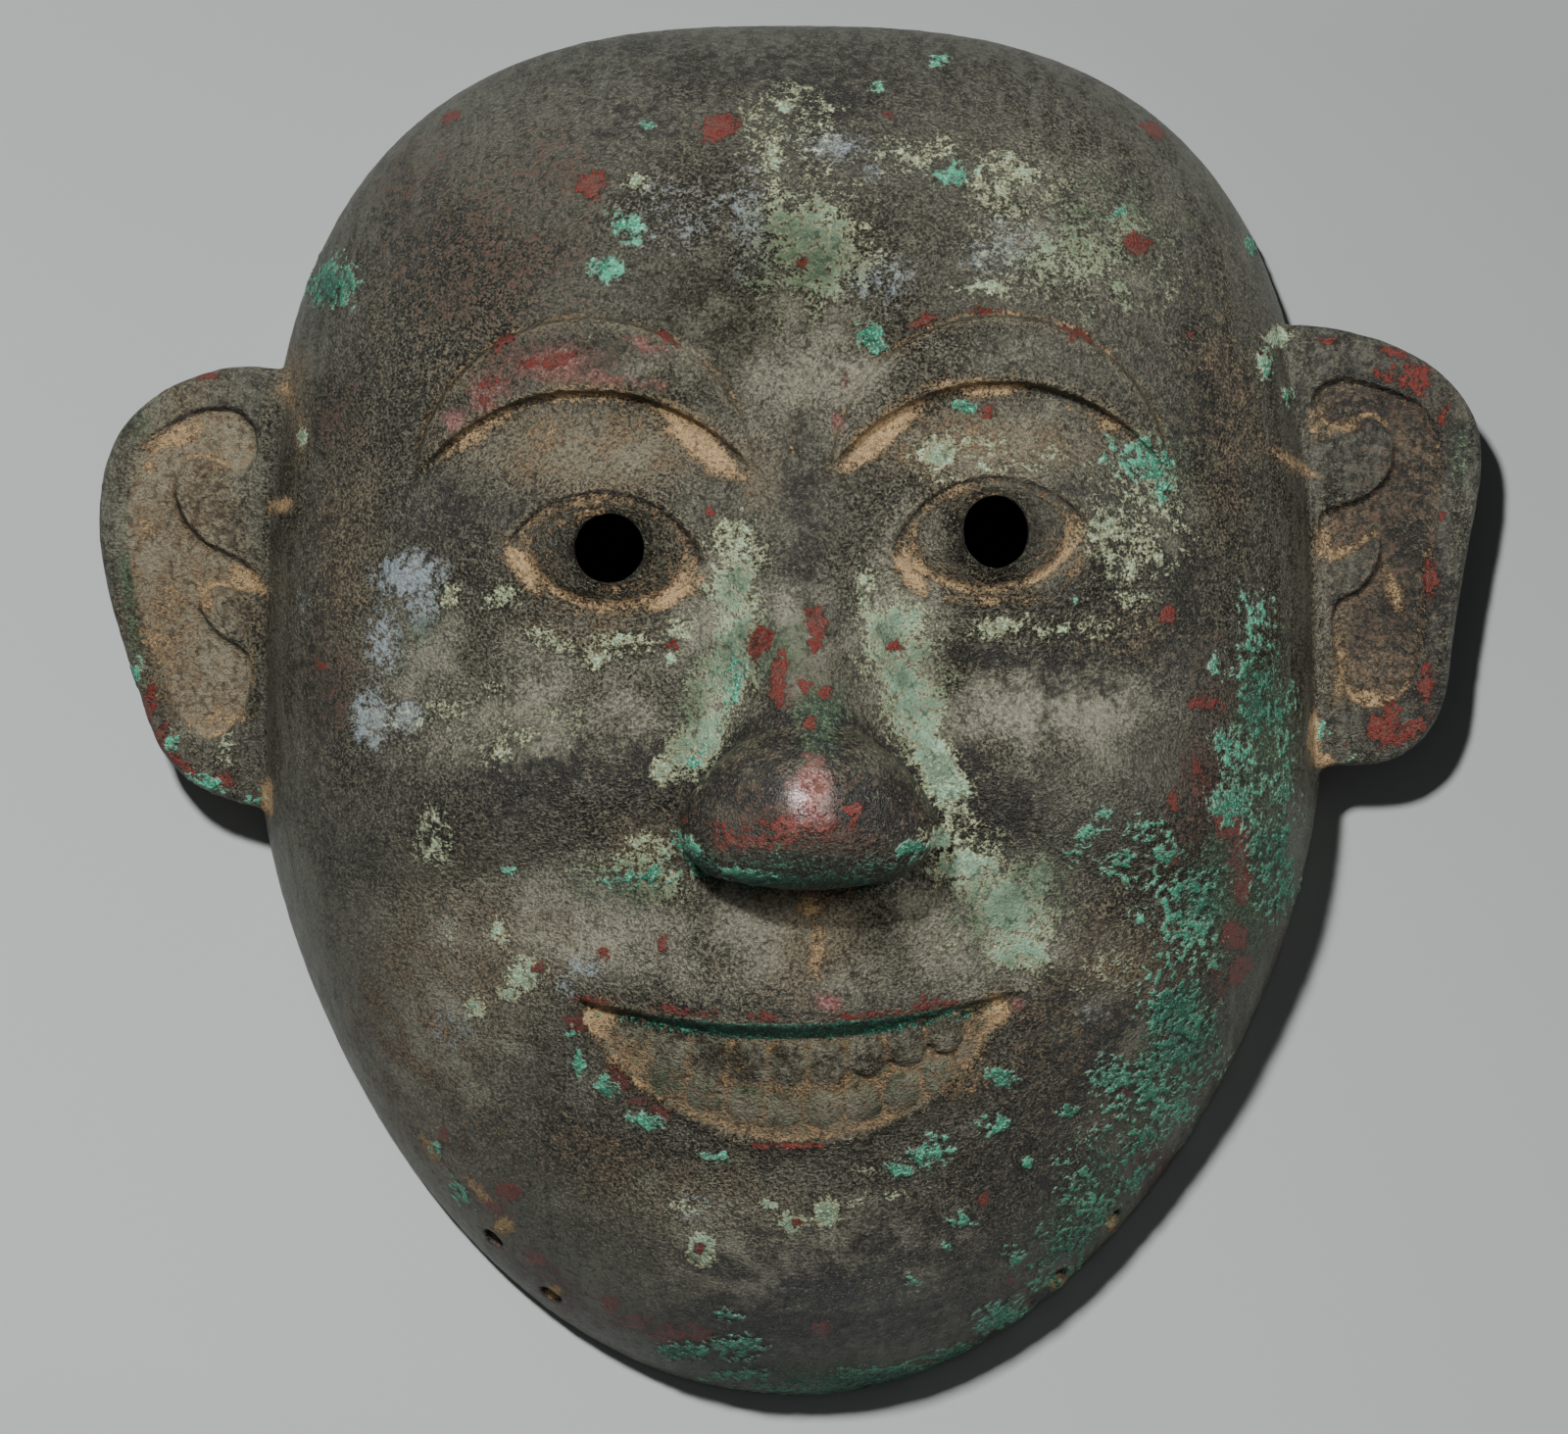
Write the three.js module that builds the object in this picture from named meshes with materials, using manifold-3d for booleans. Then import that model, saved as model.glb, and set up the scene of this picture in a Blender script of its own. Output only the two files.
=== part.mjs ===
// A cast bronze ritual mask that lies face up on its rim. It is one hollow casting: a domed face
// with crescent brows, pierced eyes and nostrils, a half-moon mouth with two rows of teeth, two
// scroll ears and four tie holes along the jaw.
// Millimetres. +X runs to the right as the mask is looked at, +Y to the crown, +Z the way it faces.
import * as THREE from "three";
import { mergeVertices } from "three/addons/utils/BufferGeometryUtils.js";
import Module from "manifold-3d";

const wasm = await Module();
wasm.setup();

// Driving sizes of the shell
const HALF_HEIGHT = 117;
const HALF_WIDTH = 90.5;
const WIDEST_Y = -8;
const DEPTH = 64;
const WALL = 4;
// Exponents of the two half outlines: how square each is along Y and across X
const CROWN = { along: 3.4, across: 2.72 };
const JAW = { along: 1.6, across: 2.02 };
// Exponents of the wall's rise: round at the sides, flatter along the jaw
const RISE = { plan: 2.4, side: 2.25, crown: 2.0, jaw: 1.55 };
// How far up or down the outline, as a sine, the side's exponent turns into the crown's or the jaw's
const TURN = { crown: [0.2, 1], jaw: [0.05, 0.85] };
// Shares of the way out to the rim between which the features fade away
const FADE = [0.8, 0.99];

// Grids of the outer face and of the hollow behind it; their rings lie closer towards the rim
const FACE_GRID = { around: 68, rings: 19 };
const HOLLOW_GRID = { around: 36, rings: 9 };
const RING_CROWDING = 1.06;
const OUTLINE_SAMPLES = 1440;
const BELOW_FLOOR = -5;

// Soft forms on both halves of the face: [x, y, half width, half height, rise]
const SOFT_FORMS = [
  [33, 45, 27, 8, -2.4],
  [31, 27, 20, 13, 4],
  [18, 18, 8, 15, -2.6],
  [74, 42, 14, 20, -2.5],
];
// Soft forms on the middle line: [y, half width, half height, rise]
const MIDDLE_FORMS = [
  [-47, 38, 17, 6],
  [-78, 26, 5, -0.7],
  [-90, 30, 14, 4],
  [46, 12, 14, 1.4],
];
// The cheeks: mounds on a slant, their lower edges firm and their upper ones soft
const CHEEK = {
  middle: 1, x: 46, y: -11, slant: 0.25, halfX: 34, halfY: 15.5, rise: 5.2, edge: 1.25, soften: [-4, 8],
};

// The features: at holds their centres, sizes are half widths, rises and depths run along Z
const BROWS = [
  { at: [-33.5, 38.2], upperSag: 25.8, lowerSag: 13.8 },
  { at: [34.4, 38.8], upperSag: 25.6, lowerSag: 14.6 },
];
const BROW = { halfSpan: 27.9, rise: 2.4 };
const EYES = [
  { at: [-29.8, 25.6], pupil: [-29.3, 26.2], halfX: 5.6, halfY: 5.6 },
  { at: [32.6, 28.2], pupil: [33.3, 28.9], halfX: 5.3, halfY: 5.9 },
];
const EYE = { halfSpan: 16.1, sag: 9.7, tilt: 0.11, recess: 1.1 };
const EYEBALL = { halfX: 12.6, halfY: 8.2, halfZ: 2.6 };
const MOUTH = {
  x: 1.1, y: -46.4, halfSpan: 35.6, upperSag: 4.4, lowerSag: 24.4, tilt: 0.02, deep: 3, shallow: 0.9,
};
// The hollow's own share of the mouth's width and height, where it keeps the wall behind the mouth
const MOUTH_BACK = { wide: 0.8, high: 0.6 };
const TOOTH = { halfX: 3.2, halfY: 3.9, halfZ: 2.4, proud: 0.8 };
const TEETH_ROWS = [
  { count: 9, pitch: 6.4, x: -0.4, y: -57.4, curl: 0.0085 },
  { count: 8, pitch: 6.4, x: 2.2, y: -64.9, curl: 0.0105 },
];
const TIE_HOLE = { r: 1.9, reach: 14, z: 11, slope: 0.9 };
const TIE_HOLES = [
  [-48.4, -86.6],
  [-40, -98.1],
  [54.1, -85.6],
  [45.5, -96.7],
];

// The nose: a ridge that widens from the brows down to a full bulb
const RIDGE = { x: 2, top: 56, foot: -26, fade: 14, rise: 23, power: 1.85, narrow: 7, wide: 15 };
const BULB = { x: 2.9, y: -17.6, z: 73, halfX: 20.8, up: 15, down: 11.2, halfZ: 14.5, square: 2.5 };
// The bulb narrows towards its tip and towards the ridge, by these shares of its width
const BULB_TAPER = { tip: 0.32, ridge: 0.3 };
const NOSTRILS = {
  x: [-4.8, 10.6], y: -25.5, z: 73.5, halfX: 4.2, halfZ: 2.6, halfLength: 9, tilt: 0.35,
};

// Ears: flat plates with a scroll sunk into the front. The outline runs round from the shell, and
// the inner points close it inside the shell's wall.
const EAR = { back: 11, front: 18, edge: 1.8, recess: 1.6 };
const LEFT_EAR = {
  outline: [
    [-85.4, 57.4], [-93, 58], [-101, 56.2], [-108.6, 52], [-114.2, 45], [-116.6, 34],
    [-115.2, 20.7], [-110.2, 4.1], [-106.2, -6.5], [-100.3, -12.4], [-93.7, -15.2], [-87, -16.5],
  ],
  inner: [[-78, -14], [-78, 55]],
  recess: [
    [-109.5, 43], [-105.5, 47.4], [-100, 50.4], [-94, 50.8], [-90.2, 47.4], [-90, 42.6], [-93, 40],
    [-97.2, 41.8], [-101, 42.2], [-103.4, 38.5], [-102.6, 33.2], [-98.8, 28.6], [-92.5, 25.2],
    [-89.3, 22.4], [-90.6, 19.8], [-96.5, 20.6], [-99.3, 18], [-97.2, 13.8], [-91.8, 9.8],
    [-90.6, 5.5], [-92.6, -1.4], [-98, -5], [-103, -1], [-107.2, 9.4], [-110.8, 20], [-111.8, 33],
  ],
};
const RIGHT_EAR = {
  outline: [
    [83, 64.9], [92, 64.4], [102, 61.6], [110.5, 56.4], [115.7, 49], [116.6, 40],
    [114.4, 27], [112.2, 14], [110.6, 2.5], [107, -4.6], [100.5, -8.6], [91, -9.3],
  ],
  inner: [[78, -9], [78, 62]],
  recess: [
    [88.2, 52.4], [90, 55], [94, 55.8], [100.6, 54], [106.8, 51], [110, 44], [109.8, 33.7],
    [107.8, 22.9], [106, 8], [102.4, 1.6], [96.8, 0.4], [93.2, 4], [91.4, 12], [91.9, 17.8],
    [96.5, 20.8], [99.1, 25], [99, 29], [95.5, 26.9], [91.4, 25.9], [89.3, 29], [89.8, 33.2],
    [96.8, 35.9], [101, 40], [101.4, 45.9], [97.6, 49.2], [93.8, 47.2], [89.9, 48.3],
  ],
};

// Steps of the curved solids, and a ball's steps from pole to pole as a share of those around it
const STEPS = { arc: 17, ear: 36, recess: 58, bevel: 2, pupil: 22, bore: 10, bulb: 26, ball: 16, tooth: 7 };
const POLE_SHARE = 0.6;
// Points closer than this are one
const SAME_POINT = 1e-4;

const ramp = THREE.MathUtils.smoothstep;
const mix = THREE.MathUtils.lerp;
const signedPower = (value, power) => Math.sign(value) * Math.abs(value) ** power;
const hump = (dx, dy, halfX, halfY) => Math.exp(-((dx / halfX) ** 2) - (dy / halfY) ** 2);

// A closed three.js geometry as a solid
function solid(geometry) {
  const bare = geometry.index ? geometry.toNonIndexed() : geometry.clone();
  bare.deleteAttribute("normal");
  bare.deleteAttribute("uv");
  const merged = mergeVertices(bare, SAME_POINT);
  return new wasm.Manifold(
    new wasm.Mesh({
      numProp: 3,
      vertProperties: merged.attributes.position.array,
      triVerts: new Uint32Array(merged.index.array),
    }),
  );
}

// A solid's largest body, without the slivers that a cut can leave
const largest = (body) =>
  body.decompose().reduce((best, part) => (part.volume() > best.volume() ? part : best));

// A solid as a flat-shaded three.js geometry
function geometryOf(body) {
  const mesh = largest(body).getMesh();
  const points = new Float32Array(mesh.numVert * 3);
  for (let i = 0; i < mesh.numVert; i++)
    points.set(mesh.vertProperties.subarray(i * mesh.numProp, i * mesh.numProp + 3), i * 3);
  const indexed = new THREE.BufferGeometry();
  indexed.setAttribute("position", new THREE.BufferAttribute(points, 3));
  indexed.setIndex(new THREE.BufferAttribute(mesh.triVerts, 1));
  const geometry = indexed.toNonIndexed();
  geometry.computeVertexNormals();
  return geometry;
}

// The shell's outline, drawn in by inset, as points at even steps along its length
function outline(count, inset = 0) {
  const dense = [];
  for (let i = 0; i <= OUTLINE_SAMPLES; i++) {
    const angle = (i / OUTLINE_SAMPLES) * 2 * Math.PI;
    const upper = Math.sin(angle) >= 0;
    const curve = upper ? CROWN : JAW;
    const reach = HALF_HEIGHT - (upper ? WIDEST_Y : -WIDEST_Y) - inset;
    dense.push([
      (HALF_WIDTH - inset) * signedPower(Math.cos(angle), 2 / curve.across),
      WIDEST_Y + reach * signedPower(Math.sin(angle), 2 / curve.along),
    ]);
  }
  const along = [0];
  for (let i = 1; i < dense.length; i++)
    along.push(along[i - 1] + Math.hypot(dense[i][0] - dense[i - 1][0], dense[i][1] - dense[i - 1][1]));
  const points = [];
  let k = 1;
  for (let i = 0; i < count; i++) {
    const target = (along.at(-1) * i) / count;
    while (along[k] < target) k++;
    const part = (target - along[k - 1]) / (along[k] - along[k - 1]);
    points.push([mix(dense[k - 1][0], dense[k][0], part), mix(dense[k - 1][1], dense[k][1], part)]);
  }
  return points;
}

// Height of the plain dome in the direction of a rim point, at a share of the way out to it
function domeHeight(rimX, rimY, share, inset = 0) {
  const up = (rimY - WIDEST_Y) / Math.hypot(rimX, rimY - WIDEST_Y);
  const toCrown = ramp(up, ...TURN.crown);
  const toJaw = ramp(-up, ...TURN.jaw);
  const power = RISE.side + (RISE.crown - RISE.side) * toCrown + (RISE.jaw - RISE.side) * toJaw;
  return (DEPTH - inset) * Math.max(0, 1 - share ** RISE.plan) ** (1 / power);
}

// The nose's ridge over the dome, from the brows down to the bulb
function ridgeRise(x, y) {
  const down = THREE.MathUtils.clamp((RIDGE.top - y) / (RIDGE.top - RIDGE.foot), 0, 1);
  const half = mix(RIDGE.narrow, RIDGE.wide, down);
  const foot = ramp(y, RIDGE.foot, RIDGE.foot + RIDGE.fade);
  return RIDGE.rise * down ** RIDGE.power * foot * hump(x - RIDGE.x, 0, half, 1);
}

// One cheek's mound over the dome, on either half of the face
function cheekRise(x, y) {
  const u = Math.abs(x - CHEEK.middle) - CHEEK.x;
  const v = y - CHEEK.y + CHEEK.slant * u;
  const mound = Math.max(0, 1 - (u / CHEEK.halfX) ** 2 - (v / CHEEK.halfY) ** 2);
  return CHEEK.rise * mound ** (CHEEK.edge * (1 + ramp(v, ...CHEEK.soften)));
}

// What the face adds to the dome at x, y
function featureRise(x, y) {
  let rise = ridgeRise(x, y) + cheekRise(x, y);
  for (const [cx, cy, halfX, halfY, height] of SOFT_FORMS)
    rise += height * hump(Math.abs(x) - cx, y - cy, halfX, halfY);
  for (const [cy, halfX, halfY, height] of MIDDLE_FORMS) rise += height * hump(x, y - cy, halfX, halfY);
  return rise;
}

// Two triangles that split the cell a, b, c, d along its shorter diagonal
function split(points, a, b, c, d) {
  const length = (p, q) =>
    Math.hypot(...[0, 1, 2].map((axis) => points[3 * p + axis] - points[3 * q + axis]));
  return length(a, c) < length(b, d) ? [a, b, c, a, c, d] : [a, b, d, b, c, d];
}

// A solid from the floor, or from below it, up to the face's surface moved by lift(x, y)
function faceSolid({ around, rings }, { inset = 0, floor = 0, lift = () => 0 } = {}) {
  const rim = outline(around, inset);
  const points = [0, WIDEST_Y, DEPTH - inset + featureRise(0, WIDEST_Y) + lift(0, WIDEST_Y)];
  for (let ring = 1; ring <= rings; ring++) {
    const share = Math.sin((ring / rings) * (Math.PI / 2)) ** RING_CROWDING;
    const fade = 1 - ramp(share, ...FADE);
    for (const [rimX, rimY] of rim) {
      const x = rimX * share;
      const y = WIDEST_Y + (rimY - WIDEST_Y) * share;
      const rise = featureRise(x, y) * fade + lift(x, y);
      points.push(x, y, Math.max(0, domeHeight(rimX, rimY, share, inset) + rise));
    }
  }
  const base = points.length / 3;
  for (const [rimX, rimY] of rim) points.push(rimX, rimY, floor);
  points.push(0, WIDEST_Y, floor);
  const at = (ring, i) => 1 + (ring - 1) * around + (i % around);
  const index = [];
  for (let i = 0; i < around; i++) {
    index.push(0, at(1, i), at(1, i + 1));
    for (let ring = 1; ring < rings; ring++) {
      index.push(...split(points, at(ring, i), at(ring + 1, i), at(ring + 1, i + 1), at(ring, i + 1)));
    }
    const next = base + ((i + 1) % around);
    if (floor < 0) {
      index.push(at(rings, i), base + i, next, at(rings, i), next, at(rings, i + 1));
      index.push(base + around, next, base + i);
    } else {
      index.push(base + around, at(rings, i + 1), at(rings, i));
    }
  }
  const geometry = new THREE.BufferGeometry();
  geometry.setAttribute("position", new THREE.BufferAttribute(new Float32Array(points), 3));
  geometry.setIndex(index);
  return solid(geometry);
}

// Height of the outer face at x, y
function surfaceAt(x, y) {
  const angle = Math.atan2(y - WIDEST_Y, x);
  const off = ([rimX, rimY]) => {
    const turn = Math.atan2(rimY - WIDEST_Y, rimX) - angle;
    return Math.abs(Math.atan2(Math.sin(turn), Math.cos(turn)));
  };
  const [rimX, rimY] = outline(OUTLINE_SAMPLES / 2).reduce((a, b) => (off(b) < off(a) ? b : a));
  const share = Math.hypot(x, y - WIDEST_Y) / Math.hypot(rimX, rimY - WIDEST_Y);
  const fade = 1 - ramp(share, ...FADE);
  return domeHeight(rimX, rimY, share) + featureRise(x, y) * fade;
}

// An upright prism on a THREE.Shape
function column(shape, low = DEPTH / 2, high = DEPTH * 2) {
  const geometry = new THREE.ExtrudeGeometry(shape, { depth: high - low, bevelEnabled: false });
  geometry.translate(0, 0, low);
  return solid(geometry);
}

// A ball of three half widths that lies on the surface z = height(x, y) and follows its slope
function ballOn(height, x, y, { halfX, halfY, halfZ }, steps) {
  const geometry = new THREE.SphereGeometry(1, steps, Math.ceil(steps * POLE_SHARE));
  geometry.rotateX(Math.PI / 2);
  geometry.scale(halfX, halfY, halfZ);
  const slopeX = (height(x + halfX, y) - height(x - halfX, y)) / (2 * halfX);
  const slopeY = (height(x, y + halfY) - height(x, y - halfY)) / (2 * halfY);
  const lean = new THREE.Matrix4().makeShear(0, slopeX, 0, slopeY, 0, 0);
  geometry.applyMatrix4(lean);
  geometry.translate(x, y, height(x, y));
  return solid(geometry);
}

// A crescent or lens between two arcs over one chord; a negative sag bulges towards -Y
function lens([x, y], halfSpan, upperSag, lowerSag, tilt = 0) {
  const points = [];
  const arc = (sag, from, to) => {
    const radius = (halfSpan ** 2 + sag ** 2) / (2 * Math.abs(sag));
    for (let i = 0; i < STEPS.arc; i++) {
      const along = mix(from, to, i / STEPS.arc);
      const out = Math.sign(sag) * (Math.sqrt(radius ** 2 - along ** 2) - radius + Math.abs(sag));
      points.push(new THREE.Vector2(along, out).rotateAround(new THREE.Vector2(), tilt));
    }
  };
  arc(upperSag, halfSpan, -halfSpan);
  arc(lowerSag, -halfSpan, halfSpan);
  return new THREE.Shape(points.map((point) => point.add(new THREE.Vector2(x, y))));
}

function smoothShape(points, divisions) {
  const through = points.map(([x, y]) => new THREE.Vector3(x, y, 0));
  return new THREE.Shape(new THREE.CatmullRomCurve3(through, true).getPoints(divisions));
}

// Crescent brows stand proud of the forehead
function withBrows(shell) {
  const raised = faceSolid(FACE_GRID, { lift: () => BROW.rise });
  for (const { at, upperSag, lowerSag } of BROWS) {
    const crescent = lens(at, BROW.halfSpan, upperSag, lowerSag);
    shell = shell.add(column(crescent).intersect(raised));
  }
  return shell;
}

// Almond eyes are sunk, with a domed eyeball in each
function withEyes(shell) {
  const lowered = faceSolid(FACE_GRID, { lift: () => -EYE.recess });
  const bed = (x, y) => surfaceAt(x, y) - EYE.recess;
  for (const { at } of EYES) {
    const almond = lens(at, EYE.halfSpan, EYE.sag, -EYE.sag, Math.sign(at[0]) * EYE.tilt);
    shell = shell.subtract(column(almond).subtract(lowered)).add(ballOn(bed, ...at, EYEBALL, STEPS.ball));
  }
  return shell;
}

// The mouth is sunk deepest under the upper lip
function mouthDepth(y) {
  return mix(MOUTH.shallow, MOUTH.deep, ramp(y, MOUTH.y - MOUTH.lowerSag, MOUTH.y - MOUTH.upperSag));
}

// The mouth holds two rows of teeth
function withMouth(shell) {
  const lowered = faceSolid(FACE_GRID, { lift: (x, y) => -mouthDepth(y) });
  const half = lens([MOUTH.x, MOUTH.y], MOUTH.halfSpan, -MOUTH.upperSag, -MOUTH.lowerSag, MOUTH.tilt);
  shell = shell.subtract(column(half).subtract(lowered));
  const bed = (x, y) => surfaceAt(x, y) - mouthDepth(y) + TOOTH.proud - TOOTH.halfZ;
  for (const row of TEETH_ROWS)
    for (let i = 0; i < row.count; i++) {
      const along = (i - (row.count - 1) / 2) * row.pitch;
      shell = shell.add(ballOn(bed, row.x + along, row.y + row.curl * along ** 2, TOOTH, STEPS.tooth));
    }
  return shell;
}

// The nose's bulb, drawn in by inset: a full ball, flatter below, that narrows to its tip and its top
function bulb(inset = 0) {
  const geometry = new THREE.SphereGeometry(1, STEPS.bulb, Math.ceil(STEPS.bulb * POLE_SHARE));
  geometry.rotateX(Math.PI / 2);
  const places = geometry.attributes.position;
  for (let i = 0; i < places.count; i++) {
    const [x, y, z] = [places.getX(i), places.getY(i), places.getZ(i)];
    const square = (Math.abs(x) ** BULB.square + Math.abs(y) ** BULB.square) ** (1 / BULB.square);
    const full = square > 0 ? Math.hypot(x, y) / square : 1;
    const taper = 1 - BULB_TAPER.tip * Math.max(0, z) ** 2;
    const neck = 1 - BULB_TAPER.ridge * Math.max(0, y);
    const halfY = y > 0 ? BULB.up : BULB.down;
    places.setXY(i, x * full * taper * neck * (BULB.halfX - inset), y * full * (halfY - inset));
  }
  geometry.scale(1, 1, BULB.halfZ - inset);
  geometry.translate(BULB.x, BULB.y, BULB.z);
  return solid(geometry);
}

// One ear: a plate with rounded edges and the scroll sunk into its front
function ear({ outline: edge, inner, recess }) {
  const plate = new THREE.ExtrudeGeometry(smoothShape([...edge, ...inner], STEPS.ear), {
    depth: EAR.front - EAR.back - 2 * EAR.edge,
    bevelThickness: EAR.edge,
    bevelSize: EAR.edge,
    bevelOffset: -EAR.edge,
    bevelSegments: STEPS.bevel,
  });
  plate.translate(0, 0, EAR.back + EAR.edge);
  const scroll = column(smoothShape(recess, STEPS.recess), EAR.front - EAR.recess, EAR.front + 1);
  return solid(plate).subtract(scroll);
}

// Hollow behind the face, also behind the mouth and inside the nose, one wall below the outside
function hollow() {
  const middle = MOUTH.y - MOUTH.lowerSag / 2;
  const lift = (x, y) =>
    -MOUTH.deep *
    hump(x - MOUTH.x, y - middle, MOUTH.halfSpan * MOUTH_BACK.wide, MOUTH.lowerSag * MOUTH_BACK.high);
  return faceSolid(HOLLOW_GRID, { inset: WALL, floor: BELOW_FLOOR, lift }).add(bulb(WALL));
}

// A bore of elliptic section along Y, turned and moved into place
function bore({ halfX, halfZ, halfLength }, steps, turn, [x, y, z]) {
  const geometry = new THREE.CylinderGeometry(1, 1, 2 * halfLength, steps);
  geometry.scale(halfX, 1, halfZ);
  geometry.applyQuaternion(turn);
  geometry.translate(x, y, z);
  return solid(geometry);
}

// The bores through the eyes, nostrils and jaw
function bores() {
  const along = new THREE.Vector3(0, 1, 0);
  const turnTo = (x, y, z) =>
    new THREE.Quaternion().setFromUnitVectors(along, new THREE.Vector3(x, y, z).normalize());
  const tie = { halfX: TIE_HOLE.r, halfZ: TIE_HOLE.r, halfLength: TIE_HOLE.reach };
  const nostrilTurn = new THREE.Quaternion().setFromAxisAngle(new THREE.Vector3(1, 0, 0), NOSTRILS.tilt);
  return [
    ...EYES.map(({ pupil: [x, y], halfX, halfY }) => {
      const size = { halfX, halfZ: halfY, halfLength: DEPTH / 2 };
      return bore(size, STEPS.pupil, turnTo(0, 0, 1), [x, y, DEPTH]);
    }),
    ...NOSTRILS.x.map((x) => bore(NOSTRILS, STEPS.bore, nostrilTurn, [x, NOSTRILS.y, NOSTRILS.z])),
    ...TIE_HOLES.map(([x, y]) => {
      const out = new THREE.Vector2(x, y - WIDEST_Y).normalize();
      return bore(tie, STEPS.bore, turnTo(out.x, out.y, TIE_HOLE.slope), [x, y, TIE_HOLE.z]);
    }),
  ];
}

function mask() {
  const face = withMouth(withEyes(withBrows(faceSolid(FACE_GRID))));
  const body = face.add(bulb()).add(ear(LEFT_EAR)).add(ear(RIGHT_EAR)).subtract(hollow());
  return bores().reduce((left, cut) => left.subtract(cut), body);
}

const bronze = new THREE.MeshStandardMaterial({ color: 0x4c4b40, roughness: 0.6, metalness: 0.55 });

const model = new THREE.Group();
const maskMesh = new THREE.Mesh(geometryOf(mask()), bronze);
maskMesh.name = "mask";
model.add(maskMesh);

export default model;
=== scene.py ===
"""A cast bronze ritual mask, lying face up on its rim on a pale floor.

The casting is worked out as a field of signed distances on a grid, from named sizes in millimetres, and
a skin is drawn over it. Geometry Nodes make the rows of teeth and the pebbled, crusted casting skin.
Soft stains, with some painted shade and highlight among them, are kept in attributes of the mesh, and shader
node groups break them up into patina.
"""
import math
from typing import NamedTuple

import bpy
import numpy as np
import openvdb
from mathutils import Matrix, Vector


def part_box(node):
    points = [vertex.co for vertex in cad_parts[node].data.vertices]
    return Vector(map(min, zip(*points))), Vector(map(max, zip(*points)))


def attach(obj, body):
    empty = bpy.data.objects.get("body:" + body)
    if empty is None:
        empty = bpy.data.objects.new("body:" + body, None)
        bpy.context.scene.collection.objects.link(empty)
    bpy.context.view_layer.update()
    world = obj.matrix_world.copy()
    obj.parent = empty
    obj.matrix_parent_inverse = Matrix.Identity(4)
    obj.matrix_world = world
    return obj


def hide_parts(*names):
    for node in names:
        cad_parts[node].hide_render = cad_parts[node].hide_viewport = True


bl_info = {
    "name": "Bronze ritual mask",
    "version": (1, 0, 0),
    "blender": (4, 5, 0),
    "location": "View3D > Sidebar > Mask",
    "description": "Casts, patinates and lights a bronze ritual mask",
    "category": "Object",
}

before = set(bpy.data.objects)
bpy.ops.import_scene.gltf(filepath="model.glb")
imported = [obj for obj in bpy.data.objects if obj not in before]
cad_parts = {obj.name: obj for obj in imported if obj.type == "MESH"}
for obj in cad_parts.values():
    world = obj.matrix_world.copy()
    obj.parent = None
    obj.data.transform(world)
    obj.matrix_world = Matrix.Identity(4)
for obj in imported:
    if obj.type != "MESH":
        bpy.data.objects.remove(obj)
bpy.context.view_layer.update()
MASK_LOW, MASK_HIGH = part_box("mask")

MM = 0.001

# The shell: sizes in millimetres, its half height from the mask part's box
HALF_HEIGHT = (MASK_HIGH[1] - MASK_LOW[1]) / 2 / MM
HALF_WIDTH = 90.5
WIDEST_Y = -8.0
DEPTH = 64.0
WALL = 4.0
# Exponents of the two half outlines: how square each is along Y and across X
CROWN = {"along": 3.4, "across": 2.72}
JAW = {"along": 1.6, "across": 2.02}
# Exponents of the wall's rise: round at the sides, flatter along the jaw
RISE = {"plan": 2.4, "side": 2.25, "crown": 2.0, "jaw": 1.55}
# Sines of the directions between which the side's exponent turns into the crown's and the jaw's
TO_CROWN = (0.2, 1)
TO_JAW = (0.05, 0.85)
RIM_POINTS = 2881
# Shares of the way out to the rim between which the features fade away
FADE = (0.8, 0.99)

# Soft forms on both halves of the face: x, y, half width, half height, rise
SOFT_FORMS = [
    (33, 45, 27, 8, -2.4),
    (31, 27, 20, 13, 4.0),
    (18, 18, 8, 15, -2.6),
    (74, 42, 14, 20, -2.5),
]
# Soft forms on the middle line: y, half width, half height, rise
MIDDLE_FORMS = [
    (-47, 38, 17, 6.0),
    (-78, 26, 5, -0.7),
    (-90, 30, 14, 4.0),
    (46, 12, 14, 1.4),
]
# A cheek: a mound on a slant, its lower edge firm and its upper one soft, either side of middle
CHEEK = {
    "middle": 1.0, "x": 46.0, "y": -11.0, "slant": 0.25, "half_x": 34.0, "half_y": 15.5, "rise": 5.2,
    "edge": 1.25, "softens": (-4, 8),
}

# The features: at holds their centres, half and span are half widths, rises and depths run along Z, and
# a pair in brackets says where an edge or a fade begins and ends
BROWS = [
    {"at": (-33.5, 38.2), "upper_sag": 25.8, "lower_sag": 13.8},
    {"at": (34.4, 38.8), "upper_sag": 25.6, "lower_sag": 14.6},
]
BROW = {
    "half_span": 27.9, "rise": 2.5, "upper_rise": 1.4, "full_at": 3.0, "crest_edge": 0.45, "foot_edge": 0.35,
}
BROW_CONTOUR = {"depth": 0.7, "out": 6.5, "half": 0.6, "across": (-6, 8), "up": (-6, 4)}
BROW_CREASE = {"out": 0.6, "half": 0.5, "up": (-2, 2)}
BROW_SOCKET = {"depth": 0.8, "out": 2.0, "half": 4.5, "up": (-14, -2)}
EYES = [(-29.8, 25.6), (32.6, 28.2)]
EYE = {
    "half_span": 16.1, "sag": 9.7, "tilt": 0.11, "recess": 1.6,
    "top_edge": (-0.3, 0.35), "foot_edge": (-0.3, 0.6),
}
EYE_LID = {"rise": 0.3, "out": 1.6, "half": 1.6, "lower_share": 0.4, "up": (-4, 3)}
EYE_FOLD = {"depth": 0.5, "slope": 0.1, "drop": 0.6, "half": 0.6, "starts": (-1, 1), "ends": (4, 10)}
EYEBALL = {"half_x": 12.4, "half_y": 8.0, "rise": 3.1}
PUPILS = [{"at": (-29.3, 26.2), "half": (5.6, 5.6)}, {"at": (33.3, 28.9), "half": (5.3, 5.9)}]
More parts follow.
